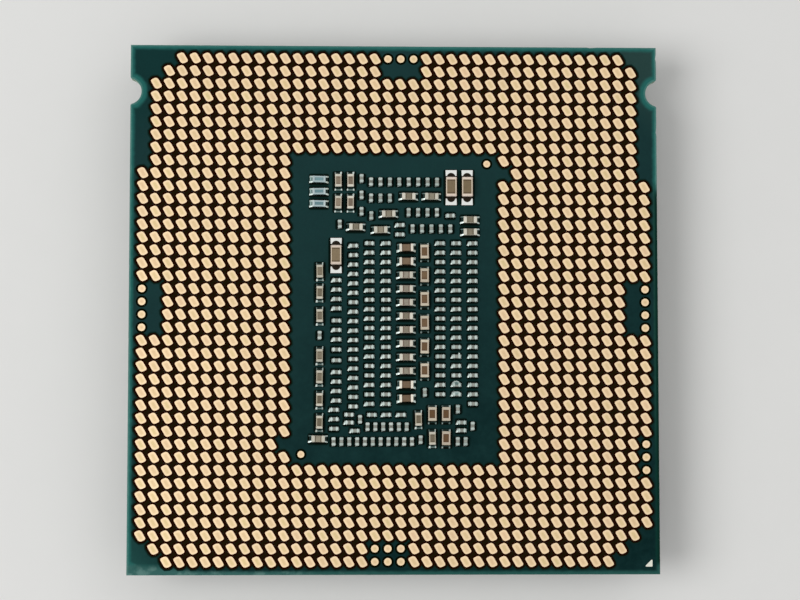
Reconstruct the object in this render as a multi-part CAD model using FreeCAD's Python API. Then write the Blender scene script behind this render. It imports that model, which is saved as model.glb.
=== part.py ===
import FreeCAD, Part
import math
import os

# Desktop processor in a land grid package, lying on its heat spreader with its contact side up.
# Millimetres. The origin is the middle of the heat spreader's outer face. +Z points out of the
# contact side, and +Y points to the end of the laminate that carries the two key notches.

Vector = FreeCAD.Vector
UP = Vector(0, 0, 1)

# Contact lattice: rows run from the notched end down, columns from left to right
LATTICE_PITCH = 0.9144
LATTICE_PLACES = 40
FIRST_OPEN_ROW = 8
LAST_OPEN_ROW = 31
LAST_OPEN_COLUMN = 27
LAND_BANDS = (
    (0, 0, ((3, 18), (22, 37))),
    (1, 1, ((2, 18), (22, 38))),
    (2, 7, ((1, 38),)),
    (8, 8, ((1, 11), (28, 38))),
    (9, 9, ((0, 11), (29, 38))),
    (10, 17, ((0, 11), (28, 39))),
    (18, 21, ((2, 11), (28, 37))),
    (22, 29, ((0, 11), (28, 39))),
    (30, 30, ((0, 10), (28, 38))),
    (31, 31, ((0, 11), (28, 38))),
    (32, 32, ((0, 38),)),
    (33, 36, ((0, 39),)),
    (37, 37, ((0, 38),)),
    (38, 38, ((1, 17), (21, 37))),
    (39, 39, ((2, 17), (21, 36))),
)
ROUND_LAND_BANDS = (
    (0, 0, ((19, 21),)),
    (18, 21, ((0, 0), (39, 39))),
    (30, 32, ((39, 39),)),
    (38, 39, ((18, 20),)),
)

# Laminate: its outline stands a margin outside the outermost places of the lattice
EDGE_MARGIN = 0.9192
LAMINATE_THICKNESS = 0.9
STACK_HEIGHT = 4.4
NOTCH_RADIUS = 0.93
NOTCH_CENTRE_OUTSET = 0.15
NOTCH_FROM_END = 3.32
NOTCH_MOUTH_RADIUS = 0.15

# Lands: a slanted four-sided pad that fills its lattice cell, less the gaps to its neighbours
LAND_THICKNESS = 0.03
LAND_SLANT = 120.0
LAND_END_SLANT = 20.0
LAND_SIDE_GAP = 0.23
LAND_TIP_GAP = 0.026
ROUND_LAND_DIAMETER = 0.574
DOT_DIAMETER = 0.52
DOT_INSET_X = 0.278
DOT_INSET_Y = 0.206
DISC_SIDES = 8

# Corner mark at the first contact
MARK_LEG = 0.55
MARK_INSET = 0.55

# Heat spreader
PLATEAU_WIDTH = 28.4
PLATEAU_LENGTH = 31.0
PLATEAU_CORNER_RADIUS = 1.4
WING_DROP = 1.1
WING_SPAN = 33.6
WING_LENGTH = 21.0
WING_CORNER_RADIUS = 1.0
PLATEAU_CHAMFER = 0.35
WING_CHAMFER = 0.2
RIM_WIDTH = 3.4
CAVITY_CORNER_RADIUS = 1.8

# Sealant bead under the rim, open at one vent
SEALANT_THICKNESS = 0.1
SEALANT_WIDTH = 1.5
SEALANT_INSET = 0.9
VENT_WIDTH = 1.6

# Silicon die with its bump layer and the thermal interface
DIE_WIDTH = 9.2
DIE_LENGTH = 13.4
DIE_THICKNESS = 0.8
BUMP_LAYER_THICKNESS = 0.07
BUMP_LAYER_BORDER = 0.6
INTERFACE_THICKNESS = 0.13

# Chip parts of the contact side: length, width and height
LARGE_CHIP = (1.5, 0.8, 0.55)
MEDIUM_CHIP = (1.02, 0.5, 0.36)
WIDE_CHIP = (1.04, 0.64, 0.45)
SMALL_CHIP = (0.64, 0.3, 0.28)
SOLDER_LENGTH = 0.54
SOLDER_TOE = 0.06
SOLDER_RISE = 0.4
SOLDER_WIDTH = 0.82
SOLDER_STEPS = 4

# Spacings of the chips in one row or column
BANK_SPACING = 0.669
ROW_SPACING = 0.67
LOWER_ROW_SPACING = 0.552
BLUE_SPACING = 0.87
SPINE_SPACING = 0.97
CORNER_SPACING = 1.56
WIDE_SPACING = 1.682

# Columns of chips as x, first y, count and spacing, and rows as first x, y, count and spacing,
# from the middle of the package. A chip across has its length along X, an upright one along Y.
LEFT_BANK = (
    (-4.12, 1.98, 4, BANK_SPACING),
    (-4.12, -0.88, 3, BANK_SPACING),
    (-4.12, -2.93, 1, BANK_SPACING),
    (-4.12, -3.69, 1, BANK_SPACING),
    (-4.12, -4.52, 4, BANK_SPACING),
    (-4.28, -7.17, 3, BANK_SPACING),
    (-2.93, 4.43, 18, BANK_SPACING),
    (-3.22, -7.52, 2, LOWER_ROW_SPACING),
    (-2.81, -8.65, 1, BANK_SPACING),
)
MIDDLE_BANK = (
    (-1.79, 4.61, 18, BANK_SPACING),
    (-0.62, 4.61, 18, BANK_SPACING),
    (0.37, 5.91, 2, BANK_SPACING),
    (-1.61, -7.53, 1, BANK_SPACING),
    (-0.59, -7.53, 1, BANK_SPACING),
    (0.45, -7.53, 1, BANK_SPACING),
)
RIGHT_BANK = (
    (3.23, 4.62, 17, BANK_SPACING),
    (4.36, 4.62, 17, BANK_SPACING),
    (5.53, 4.62, 18, BANK_SPACING),
    (3.95, 6.59, 1, BANK_SPACING),
    (4.72, -8.07, 2, LOWER_ROW_SPACING),
)
UPPER_ROWS = (
    (-2.33, 9.22, 1, ROW_SPACING),
    (-2.33, 8.04, 1, ROW_SPACING),
    (-2.33, 6.87, 1, ROW_SPACING),
    (-1.66, 8.98, 8, ROW_SPACING),
    (-1.66, 7.83, 3, ROW_SPACING),
    (-1.64, 6.57, 1, ROW_SPACING),
    (1.01, 6.81, 4, ROW_SPACING),
    (1.29, 5.65, 5, ROW_SPACING),
    (-3.87, 5.96, 1, ROW_SPACING),
)
LOWER_ROWS = (
    (-1.89, -8.38, 6, LOWER_ROW_SPACING),
    (-4.28, -9.42, 11, LOWER_ROW_SPACING),
    (1.85, -9.29, 1, LOWER_ROW_SPACING),
    (4.47, -9.41, 2, LOWER_ROW_SPACING),
    (5.52, -8.33, 1, LOWER_ROW_SPACING),
    (4.48, -7.14, 1, LOWER_ROW_SPACING),
    (2.15, -5.96, 1, LOWER_ROW_SPACING),
    (-2.42, -7.86, 1, LOWER_ROW_SPACING),
    (-5.28, -1.93, 1, LOWER_ROW_SPACING),
)
SPINE = ((0.82, 2.36, 8, SPINE_SPACING),)
BROWN_SPINE = (
    (0.82, 4.30, 2, SPINE_SPACING),
    (0.82, -5.40, 2, SPINE_SPACING),
)
MEDIUM_ACROSS = (
    (-0.42, 6.71, 1, SPINE_SPACING),
    (-2.74, 5.77, 1, SPINE_SPACING),
    (-0.99, 5.57, 1, SPINE_SPACING),
    (1.00, 7.96, 1, SPINE_SPACING),
    (2.63, 7.96, 1, SPINE_SPACING),
    (5.37, 6.30, 2, BLUE_SPACING),
    (-5.38, -9.22, 1, SPINE_SPACING),
)
MEDIUM_UPRIGHT = (
    (-5.28, 2.62, 1, SPINE_SPACING),
    (-5.28, 1.11, 1, SPINE_SPACING),
    (-5.28, -0.53, 1, SPINE_SPACING),
    (-5.28, -3.34, 1, SPINE_SPACING),
    (-5.28, -4.85, 1, SPINE_SPACING),
    (-5.28, -6.45, 1, SPINE_SPACING),
    (-5.28, -8.04, 1, SPINE_SPACING),
    (1.70, -7.83, 1, SPINE_SPACING),
    (2.68, -9.17, 1, SPINE_SPACING),
)
CORNER_UPRIGHT = (
    (-3.98, 9.06, 2, CORNER_SPACING),
    (-3.11, 9.06, 2, CORNER_SPACING),
)
WIDE_UPRIGHT = (
    (2.14, 4.01, 6, WIDE_SPACING),
    (2.68, -7.47, 1, WIDE_SPACING),
    (3.65, -7.47, 1, WIDE_SPACING),
    (3.65, -9.17, 1, WIDE_SPACING),
)
LARGE_UPRIGHT = (
    (4.04, 8.62, 1, WIDE_SPACING),
    (5.18, 8.62, 1, WIDE_SPACING),
    (-4.13, 3.75, 1, WIDE_SPACING),
)
BLUE_ACROSS = ((-5.38, 9.16, 3, BLUE_SPACING),)

# Plan of the laminate, worked out from the lattice
MIDDLE_PLACE = (LATTICE_PLACES - 1) / 2
LAMINATE_SIDE = (LATTICE_PLACES - 1) * LATTICE_PITCH + 2 * EDGE_MARGIN
HALF_SIDE = LAMINATE_SIDE / 2
NOTCH_Y = HALF_SIDE - NOTCH_FROM_END

# Heights of the stack, worked out from the lid's outer face up
LAMINATE_LOW = STACK_HEIGHT - LAMINATE_THICKNESS
RIM_TOP = LAMINATE_LOW - SEALANT_THICKNESS
DIE_TOP = LAMINATE_LOW - BUMP_LAYER_THICKNESS
DIE_LOW = DIE_TOP - DIE_THICKNESS
CAVITY_FLOOR = DIE_LOW - INTERFACE_THICKNESS


def rounded_plate(width, length, low, high, radius):
    """A plate centred on the origin, with its four upright edges rounded."""
    plate = Part.makeBox(width, length, high - low, Vector(-width / 2, -length / 2, low))
    upright = [edge for edge in plate.Edges if abs(edge.BoundBox.ZLength - (high - low)) < 1e-6]
    return plate.makeFillet(radius, upright)


def edges_at_height(solid, height):
    """The edges of a solid that lie flat at one height."""
    return [
        edge
        for edge in solid.Edges
        if abs(edge.BoundBox.ZMin - height) < 1e-6 and abs(edge.BoundBox.ZMax - height) < 1e-6
    ]


def prism(corners, low, height):
    """An upright prism over a closed polygon given as x, y pairs."""
    points = [Vector(x, y, low) for x, y in corners]
    return Part.Face(Part.makePolygon(points + points[:1])).extrude(UP * height)


def disc(x, y, diameter, low, height):
    """A round pad, as a regular prism of the same area as its circle."""
    turn = 2 * math.pi / DISC_SIDES
    reach = diameter / 2 * math.sqrt(turn / math.sin(turn))
    angles = [(k + 0.5) * turn for k in range(DISC_SIDES)]
    return prism([(x + reach * math.cos(a), y + reach * math.sin(a)) for a in angles], low, height)


def laminate():
    """The square laminate with a round key notch in its left and right edges."""
    body = Part.makeBox(
        LAMINATE_SIDE,
        LAMINATE_SIDE,
        LAMINATE_THICKNESS,
        Vector(-HALF_SIDE, -HALF_SIDE, LAMINATE_LOW),
    )
    for side in (-1, 1):
        centre = Vector(side * (HALF_SIDE + NOTCH_CENTRE_OUTSET), NOTCH_Y, LAMINATE_LOW)
        body = body.cut(Part.makeCylinder(NOTCH_RADIUS, LAMINATE_THICKNESS, centre))
    half_mouth = math.sqrt(NOTCH_RADIUS**2 - NOTCH_CENTRE_OUTSET**2)
    mouth = [
        edge
        for edge in body.Edges
        if edge.BoundBox.ZLength > LAMINATE_THICKNESS / 2
        and abs(abs(edge.CenterOfMass.y - NOTCH_Y) - half_mouth) < 1e-4
    ]
    return body.makeFillet(NOTCH_MOUTH_RADIUS, mouth)


def lattice_place(row, column):
    """X and y of one place of the lattice."""
    return (column - MIDDLE_PLACE) * LATTICE_PITCH, (MIDDLE_PLACE - row) * LATTICE_PITCH


def lattice_places(bands):
    """Row, column, x and y of each contact in a set of bands."""
    for first_row, last_row, runs in bands:
        for row in range(first_row, last_row + 1):
            for first_column, last_column in runs:
                for column in range(first_column, last_column + 1):
                    yield row, column, *lattice_place(row, column)


def land_corners():
    """Corners of one land about its own middle, from the lattice pitch and the gaps."""
    slant, end_slant = math.radians(LAND_SLANT), math.radians(LAND_END_SLANT)
    across = LATTICE_PITCH * math.sin(slant) - LAND_SIDE_GAP
    half_end = across / math.sin(slant - end_slant) / 2
    half_rise = (LATTICE_PITCH - LAND_TIP_GAP) / 2 - half_end * math.sin(end_slant)
    half_side = half_rise / math.sin(slant)
    side = Vector(math.cos(slant), math.sin(slant), 0) * half_side
    end = Vector(math.cos(end_slant), math.sin(end_slant), 0) * half_end
    return [(v.x, v.y) for v in (side + end, side - end, -side - end, end - side)]


def field_name(row, column):
    """Which of the four land fields around the open middle a contact belongs to."""
    if row < FIRST_OPEN_ROW:
        return "upper_land_field"
    if row > LAST_OPEN_ROW:
        return "lower_land_field"
    return "left_land_field" if column < MIDDLE_PLACE else "right_land_field"


def land_fields():
    """All slanted lands, grouped by field."""
    corners = land_corners()
    fields = {}
    for row, column, x, y in lattice_places(LAND_BANDS):
        outline = [(x + dx, y + dy) for dx, dy in corners]
        land = prism(outline, STACK_HEIGHT, LAND_THICKNESS)
        fields.setdefault(field_name(row, column), []).append(land)
    return fields


def round_lands():
    """The round lands at the middles of the four sides and low on the right."""
    return [
        disc(x, y, ROUND_LAND_DIAMETER, STACK_HEIGHT, LAND_THICKNESS)
        for _, _, x, y in lattice_places(ROUND_LAND_BANDS)
    ]


def locating_dots():
    """Two round marks at opposite corners of the open middle."""
    corner_x, corner_y = lattice_place(FIRST_OPEN_ROW, LAST_OPEN_COLUMN)
    x, y = corner_x - DOT_INSET_X, corner_y - DOT_INSET_Y
    return [
        disc(side * x, side * y, DOT_DIAMETER, STACK_HEIGHT, LAND_THICKNESS)
        for side in (-1, 1)
    ]


def first_contact_mark(low):
    """A small corner triangle, low on the right."""
    x, y = HALF_SIDE - MARK_INSET, MARK_INSET - HALF_SIDE
    return prism([(x, y), (x, y + MARK_LEG), (x - MARK_LEG, y)], low, LAND_THICKNESS)


def column_places(table):
    """Centres of the chips in columns that run down from their first place."""
    return [(x, y - k * spacing) for x, y, count, spacing in table for k in range(count)]


def row_places(table):
    """Centres of the chips in rows that run right from their first place."""
    return [(x + k * spacing, y) for x, y, count, spacing in table for k in range(count)]


def chips(size, places, upright):
    """Chip parts of one size, seated on the contact side."""
    length, width, height = size
    along_x, along_y = (width, length) if upright else (length, width)
    return [
        Part.makeBox(along_x, along_y, height, Vector(x - along_x / 2, y - along_y / 2, STACK_HEIGHT))
        for x, y in places
    ]


def solder_fillets():
    """A concave solder fillet at both ends of each large chip."""
    half_length = LARGE_CHIP[0] / 2
    rise, run = SOLDER_RISE - SOLDER_TOE, SOLDER_LENGTH
    turns = [math.pi / 2 * k / SOLDER_STEPS for k in range(SOLDER_STEPS + 1)]
    slope = [(run * (1 - math.cos(a)), SOLDER_TOE + rise * (1 - math.sin(a))) for a in turns]
    profile = [(0, 0)] + slope + [(run, 0)]
    fillets = []
    for x, y in column_places(LARGE_UPRIGHT):
        for side in (-1, 1):
            points = [
                Vector(x - SOLDER_WIDTH / 2, y + side * (half_length + out), STACK_HEIGHT + up)
                for out, up in profile
            ]
            face = Part.Face(Part.makePolygon(points + points[:1]))
            fillets.append(face.extrude(Vector(SOLDER_WIDTH, 0, 0)))
    return fillets


def heat_spreader():
    """The stamped lid: raised plateau, lower wings left and right, and a cavity over the die."""
    plateau = rounded_plate(PLATEAU_WIDTH, PLATEAU_LENGTH, 0, RIM_TOP, PLATEAU_CORNER_RADIUS)
    plateau = plateau.makeChamfer(PLATEAU_CHAMFER, edges_at_height(plateau, 0))
    wings = rounded_plate(WING_SPAN, WING_LENGTH, WING_DROP, RIM_TOP, WING_CORNER_RADIUS)
    wings = wings.makeChamfer(WING_CHAMFER, edges_at_height(wings, WING_DROP))
    cavity = rounded_plate(
        PLATEAU_WIDTH - 2 * RIM_WIDTH,
        PLATEAU_LENGTH - 2 * RIM_WIDTH,
        CAVITY_FLOOR,
        RIM_TOP,
        CAVITY_CORNER_RADIUS,
    )
    return plateau.fuse(wings).cut(cavity).removeSplitter()


def sealant_bead():
    """The adhesive bead between rim and laminate, with a vent gap at the end away from the notches."""
    outer_width = PLATEAU_WIDTH - 2 * SEALANT_INSET
    outer_length = PLATEAU_LENGTH - 2 * SEALANT_INSET
    levels = (RIM_TOP, LAMINATE_LOW)
    outer = rounded_plate(outer_width, outer_length, *levels, PLATEAU_CORNER_RADIUS)
    inner = rounded_plate(
        outer_width - 2 * SEALANT_WIDTH,
        outer_length - 2 * SEALANT_WIDTH,
        *levels,
        PLATEAU_CORNER_RADIUS / 2,
    )
    vent = Part.makeBox(
        VENT_WIDTH,
        PLATEAU_LENGTH / 2,
        SEALANT_THICKNESS,
        Vector(-VENT_WIDTH / 2, -PLATEAU_LENGTH / 2, RIM_TOP),
    )
    return outer.cut(inner).cut(vent)


def centred_block(width, length, low, high):
    """A plain block centred over the die's place."""
    return Part.makeBox(width, length, high - low, Vector(-width / 2, -length / 2, low))


def bump_layer():
    """The solder bumps and the underfill that holds them, as one layer between die and laminate."""
    width = DIE_WIDTH + 2 * BUMP_LAYER_BORDER
    length = DIE_LENGTH + 2 * BUMP_LAYER_BORDER
    return centred_block(width, length, DIE_TOP, LAMINATE_LOW)


def pieces():
    """Every node of the processor, as a list of separate solids under its name."""
    nodes = {
        "laminate": [laminate()],
        "round_lands": round_lands(),
        "locating_dots": locating_dots(),
        "first_contact_mark": [first_contact_mark(STACK_HEIGHT)],
        "lid_side_mark": [first_contact_mark(LAMINATE_LOW - LAND_THICKNESS)],
        "large_capacitors": chips(LARGE_CHIP, column_places(LARGE_UPRIGHT), True),
        "large_capacitor_solder": solder_fillets(),
        "wide_capacitors": chips(WIDE_CHIP, column_places(WIDE_UPRIGHT), True),
        "blue_chip_parts": chips(MEDIUM_CHIP, column_places(BLUE_ACROSS), False),
        "corner_capacitors": chips(MEDIUM_CHIP, column_places(CORNER_UPRIGHT), True),
        "upright_medium_capacitors": chips(MEDIUM_CHIP, column_places(MEDIUM_UPRIGHT), True),
        "level_medium_capacitors": chips(MEDIUM_CHIP, column_places(MEDIUM_ACROSS), False),
        "spine_capacitors": chips(MEDIUM_CHIP, column_places(SPINE), False),
        "brown_spine_capacitors": chips(MEDIUM_CHIP, column_places(BROWN_SPINE), False),
        "left_bank_capacitors": chips(SMALL_CHIP, column_places(LEFT_BANK), False),
        "middle_bank_capacitors": chips(SMALL_CHIP, column_places(MIDDLE_BANK), False),
        "right_bank_capacitors": chips(SMALL_CHIP, column_places(RIGHT_BANK), False),
        "upper_row_capacitors": chips(SMALL_CHIP, row_places(UPPER_ROWS), True),
        "lower_row_capacitors": chips(SMALL_CHIP, row_places(LOWER_ROWS), True),
        "heat_spreader": [heat_spreader()],
        "lid_sealant": [sealant_bead()],
        "thermal_interface": [centred_block(DIE_WIDTH, DIE_LENGTH, CAVITY_FLOOR, DIE_LOW)],
        "silicon_die": [centred_block(DIE_WIDTH, DIE_LENGTH, DIE_LOW, DIE_TOP)],
        "bump_layer": [bump_layer()],
    }
    nodes.update(land_fields())
    return nodes


def main():
    """Write one file for each node."""
    os.makedirs("parts", exist_ok=True)
    for name, solids in pieces().items():
        shape = solids[0] if len(solids) == 1 else Part.makeCompound(solids)
        shape.exportStep(f"parts/{name}.step")
        print(f"{name}: {len(solids)} solids, {shape.Volume:.4f} mm3")


main()
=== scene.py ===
"""Looks of the desktop processor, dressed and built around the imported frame.

Lengths are in metres. The processor lies on its lid with its contact side up, and the end with the two
key notches points to +Y.
"""

import logging
import math
import random
from collections.abc import Callable, Sequence
from dataclasses import dataclass, field
from functools import cached_property
from typing import ClassVar

import bmesh
import bpy
from mathutils import Matrix, Vector, noise

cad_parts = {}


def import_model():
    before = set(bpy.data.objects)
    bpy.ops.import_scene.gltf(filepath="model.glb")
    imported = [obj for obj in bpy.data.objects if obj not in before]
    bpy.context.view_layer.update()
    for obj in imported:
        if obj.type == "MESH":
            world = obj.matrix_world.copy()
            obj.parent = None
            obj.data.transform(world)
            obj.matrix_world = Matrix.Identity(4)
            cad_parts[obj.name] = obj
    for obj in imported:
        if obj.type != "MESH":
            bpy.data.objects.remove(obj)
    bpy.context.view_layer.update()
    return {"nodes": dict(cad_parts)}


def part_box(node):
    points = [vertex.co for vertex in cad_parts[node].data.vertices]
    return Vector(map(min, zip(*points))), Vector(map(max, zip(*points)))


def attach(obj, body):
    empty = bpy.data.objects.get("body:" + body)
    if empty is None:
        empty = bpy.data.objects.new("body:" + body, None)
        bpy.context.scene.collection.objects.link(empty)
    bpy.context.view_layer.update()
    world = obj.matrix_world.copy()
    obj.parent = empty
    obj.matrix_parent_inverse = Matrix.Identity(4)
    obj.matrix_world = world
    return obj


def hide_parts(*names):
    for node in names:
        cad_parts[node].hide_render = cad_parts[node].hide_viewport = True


MM = 0.001
BODY = "root"
MERGE_DISTANCE = 1e-7
ALL_POINTS = -1.0

Colour = tuple[float, float, float, float]
Outline = list[Vector]
Relief = Callable[[float, float], tuple[Vector, float]]
Socket = bpy.types.NodeSocket
Span = tuple[float, float]

log = logging.getLogger("processor")


def srgb(red: int, green: int, blue: int) -> Colour:
    """Turn a colour as seen on a screen into the linear values that a shader takes.

    Args:
        red, green, blue: Channels from 0 to 255.

    Returns:
        Linear red, green and blue, and full opacity.
    """
    channels = []
    for channel in (red, green, blue):
        share = channel / 255
        channels.append(share / 12.92 if share <= 0.04045 else ((share + 0.055) / 1.055) ** 2.4)
    return (*channels, 1.0)


def smooth(value: float, start: float, stop: float) -> float:
    """Rise softly from 0 at start to 1 at stop.

    Args:
        value: Where to read the curve.
        start, stop: Where the rise begins and ends; stop may be the lower one.

    Returns:
        A share from 0 to 1.
    """
    share = min(max((value - start) / (stop - start), 0.0), 1.0)
    return share * share * (3 - 2 * share)


def rounded(corners: Sequence[Vector], radii: Sequence[float], arc_points: int) -> Outline:
    """Round every corner of a convex polygon with an arc.

    Args:
        corners: The polygon, anticlockwise.
        radii: One radius for each corner.
        arc_points: Points on each arc.

    Returns:
        The rounded outline, anticlockwise.
    """
    outline = []
    for k, (corner, radius) in enumerate(zip(corners, radii)):
        back = (corners[k - 1] - corner).normalized()
        ahead = (corners[(k + 1) % len(corners)] - corner).normalized()
        half = back.angle(ahead) / 2
        middle = corner + (back + ahead).normalized() * radius / math.sin(half)
        arm = corner + back * radius / math.tan(half) - middle
        for step in range(arc_points):
            turn = Matrix.Rotation((math.pi - 2 * half) * step / (arc_points - 1), 2)
            outline.append(middle + turn @ arm)
    return outline


def rounded_block(length: float, width: float, radius: float, arc_points: int = 2) -> Outline:
    """A rounded rectangle centred on the origin.

    Args:
        length, width: Its extent along X and along Y.
        radius: The radius of its corners.
        arc_points: Points on each corner's arc.

    Returns:
        The outline, anticlockwise.
    """
    x, y = length / 2, width / 2
    corners = [Vector((-x, -y)), Vector((x, -y)), Vector((x, y)), Vector((-x, y))]
    return rounded(corners, [radius] * 4, arc_points)


def circle(radius: float, count: int) -> Outline:
    """A circle round the origin, anticlockwise."""
    turns = [2 * math.pi * k / count for k in range(count)]
    return [Vector((radius * math.cos(a), radius * math.sin(a))) for a in turns]


@dataclass
class Ring:
    """One level of a stacked solid: its outline, height and the value painted on its points."""

    outline: Outline
    height: float
    mark: float = 0.0


@dataclass
class Sketch:
    """Points, faces and one painted value for each point, gathered before they become a mesh."""

    points: list[Vector] = field(default_factory=list)
    faces: list[list[int]] = field(default_factory=list)
    marks: list[float] = field(default_factory=list)

    def stack(self, rings: Sequence[Ring], offset: Vector = Vector((0, 0))) -> "Sketch":
        """Add a closed solid that runs through rings of equal count, from the lowest up.

        Args:
            rings: The levels, each with as many points as the others.
            offset: Where the solid stands.

        Returns:
            The sketch itself.
        """
        first, count = len(self.points), len(rings[0].outline)
        for ring in rings:
            self.points += [Vector((*(place + offset), ring.height)) for place in ring.outline]
            self.marks += [ring.mark] * count
        self.faces.append([first + k for k in reversed(range(count))])
        for level in range(len(rings) - 1):
            low = first + level * count
            for k in range(count):
                after = (k + 1) % count
                self.faces.append([low + k, low + after, low + count + after, low + count + k])
        self.faces.append([first + (len(rings) - 1) * count + k for k in range(count)])
        return self

    def relief(self, rows: int, columns: int, place: Relief) -> "Sketch":
        """Add a closed relief: a curved grid over a flat base at height zero.

        Args:
            rows, columns: Divisions along and across.
            place: Gives the point and its painted value from a share along, 0 to 1, and across, -1 to 1.

        Returns:
            The sketch itself.
        """
        first, wide = len(self.points), columns + 1
        for row in range(rows + 1):
            for column in range(wide):
                point, mark = place(row / rows, 2 * column / columns - 1)
                self.points.append(point)
                self.marks.append(mark)
        for row in range(rows):
            for column in range(columns):
                low = first + row * wide + column
                self.faces.append([low, low + wide, low + wide + 1, low + 1])
        rim = [first + row * wide for row in range(rows + 1)]
        rim += [first + rows * wide + column for column in range(1, wide)]
        rim += [first + row * wide + columns for row in reversed(range(rows))]
        rim += [first + column for column in reversed(range(1, columns))]
        base = len(self.points)
        self.points += [Vector((self.points[k].x, self.points[k].y, 0)) for k in rim]
        self.marks += [self.marks[k] for k in rim]
        for k, top in enumerate(rim):
            after = (k + 1) % len(rim)
            self.faces.append([base + k, base + after, rim[after], top])
        self.faces.append([base + k for k in reversed(range(len(rim)))])
        return self

    def changed(self, change: Callable[[Vector], Vector]) -> "Sketch":
        """A copy with each point passed through a mirroring change, and its faces turned to match."""
        return Sketch([change(p) for p in self.points], [f[::-1] for f in self.faces], list(self.marks))

    def join(self, other: "Sketch") -> "Sketch":
        """Add another sketch's points and faces to this one.

        Args:
            other: The sketch to add.

        Returns:
            The sketch itself.
        """
        first = len(self.points)
        self.points += other.points
        self.marks += other.marks
        self.faces += [[first + k for k in face] for face in other.faces]
        return self

    def mesh(self, name: str, attribute: str = "mark") -> bpy.types.Mesh:
        """Turn the sketch into a mesh.

        Args:
            name: The mesh's name.
            attribute: The name under which materials read the painted values.

        Returns:
            The mesh, with smooth shading broken at its hard edges.
        """
        mesh = bpy.data.meshes.new(name)
        mesh.from_pydata([tuple(p) for p in self.points], [], self.faces)
        mesh.attributes.new(attribute, "FLOAT", "POINT").data.foreach_set("value", self.marks)
        soften(mesh)
        return mesh


def soften(mesh: bpy.types.Mesh, angle: float = math.radians(35)) -> None:
    """Shade a mesh smooth, apart from edges that turn by more than an angle."""
    mesh.polygons.foreach_set("use_smooth", [True] * len(mesh.polygons))
    mesh.set_sharp_from_angle(angle=angle)


def stand(name: str, data: bpy.types.ID) -> bpy.types.Object:
    """Put a mesh, a lamp or a camera into the scene as an object at the origin.

    Args:
        name: The object's name.
        data: The mesh, lamp or camera.

    Returns:
        The new object.
    """
    piece = bpy.data.objects.new(name, data)
    bpy.context.scene.collection.objects.link(piece)
    return piece


def deliver(piece: bpy.types.Object, slot: str, *nodes: str) -> None:
    """Hand a finished piece to the frame.

    Args:
        piece: The finished object.
        slot: A material slot name; not used.
        nodes: CAD nodes that it stands for.
    """
    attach(piece, BODY)
    if nodes:
        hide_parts(*nodes)
    log.info("%s: %d faces", piece.name, len(piece.data.polygons))


@dataclass(frozen=True)
class SolidBox:
    """The box of one solid of a CAD node."""

    low: Vector
    high: Vector

    @property
    def centre(self) -> Vector:
        """The middle of the box."""
        return (self.low + self.high) / 2

    @property
    def size(self) -> Vector:
        """The box's extent along each axis."""
        return self.high - self.low

    @property
    def seat(self) -> Vector:
        """The middle of the box's underside."""
        return Vector((self.centre.x, self.centre.y, self.low.z))


def solid_boxes(node: bpy.types.Object) -> list[SolidBox]:
    """Find the box of each separate solid in a CAD node.

    Args:
        node: The node's object.

    Returns:
        The boxes, from the notched end down and from left to right.
    """
    body = bmesh.new()
    body.from_mesh(node.data)
    bmesh.ops.remove_doubles(body, verts=body.verts, dist=MERGE_DISTANCE)
    boxes, seen = [], set()
    for start in body.verts:
        if start in seen:
            continue
        island, waiting = [], [start]
        seen.add(start)
        while waiting:
            vertex = waiting.pop()
            island.append(vertex.co.copy())
            for edge in vertex.link_edges:
                other = edge.other_vert(vertex)
                if other not in seen:
                    seen.add(other)
                    waiting.append(other)
        low = Vector(min(co[axis] for co in island) for axis in range(3))
        high = Vector(max(co[axis] for co in island) for axis in range(3))
        boxes.append(SolidBox(low, high))
    body.free()
    return sorted(boxes, key=lambda box: (-round(box.centre.y, 6), box.centre.x))


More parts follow.
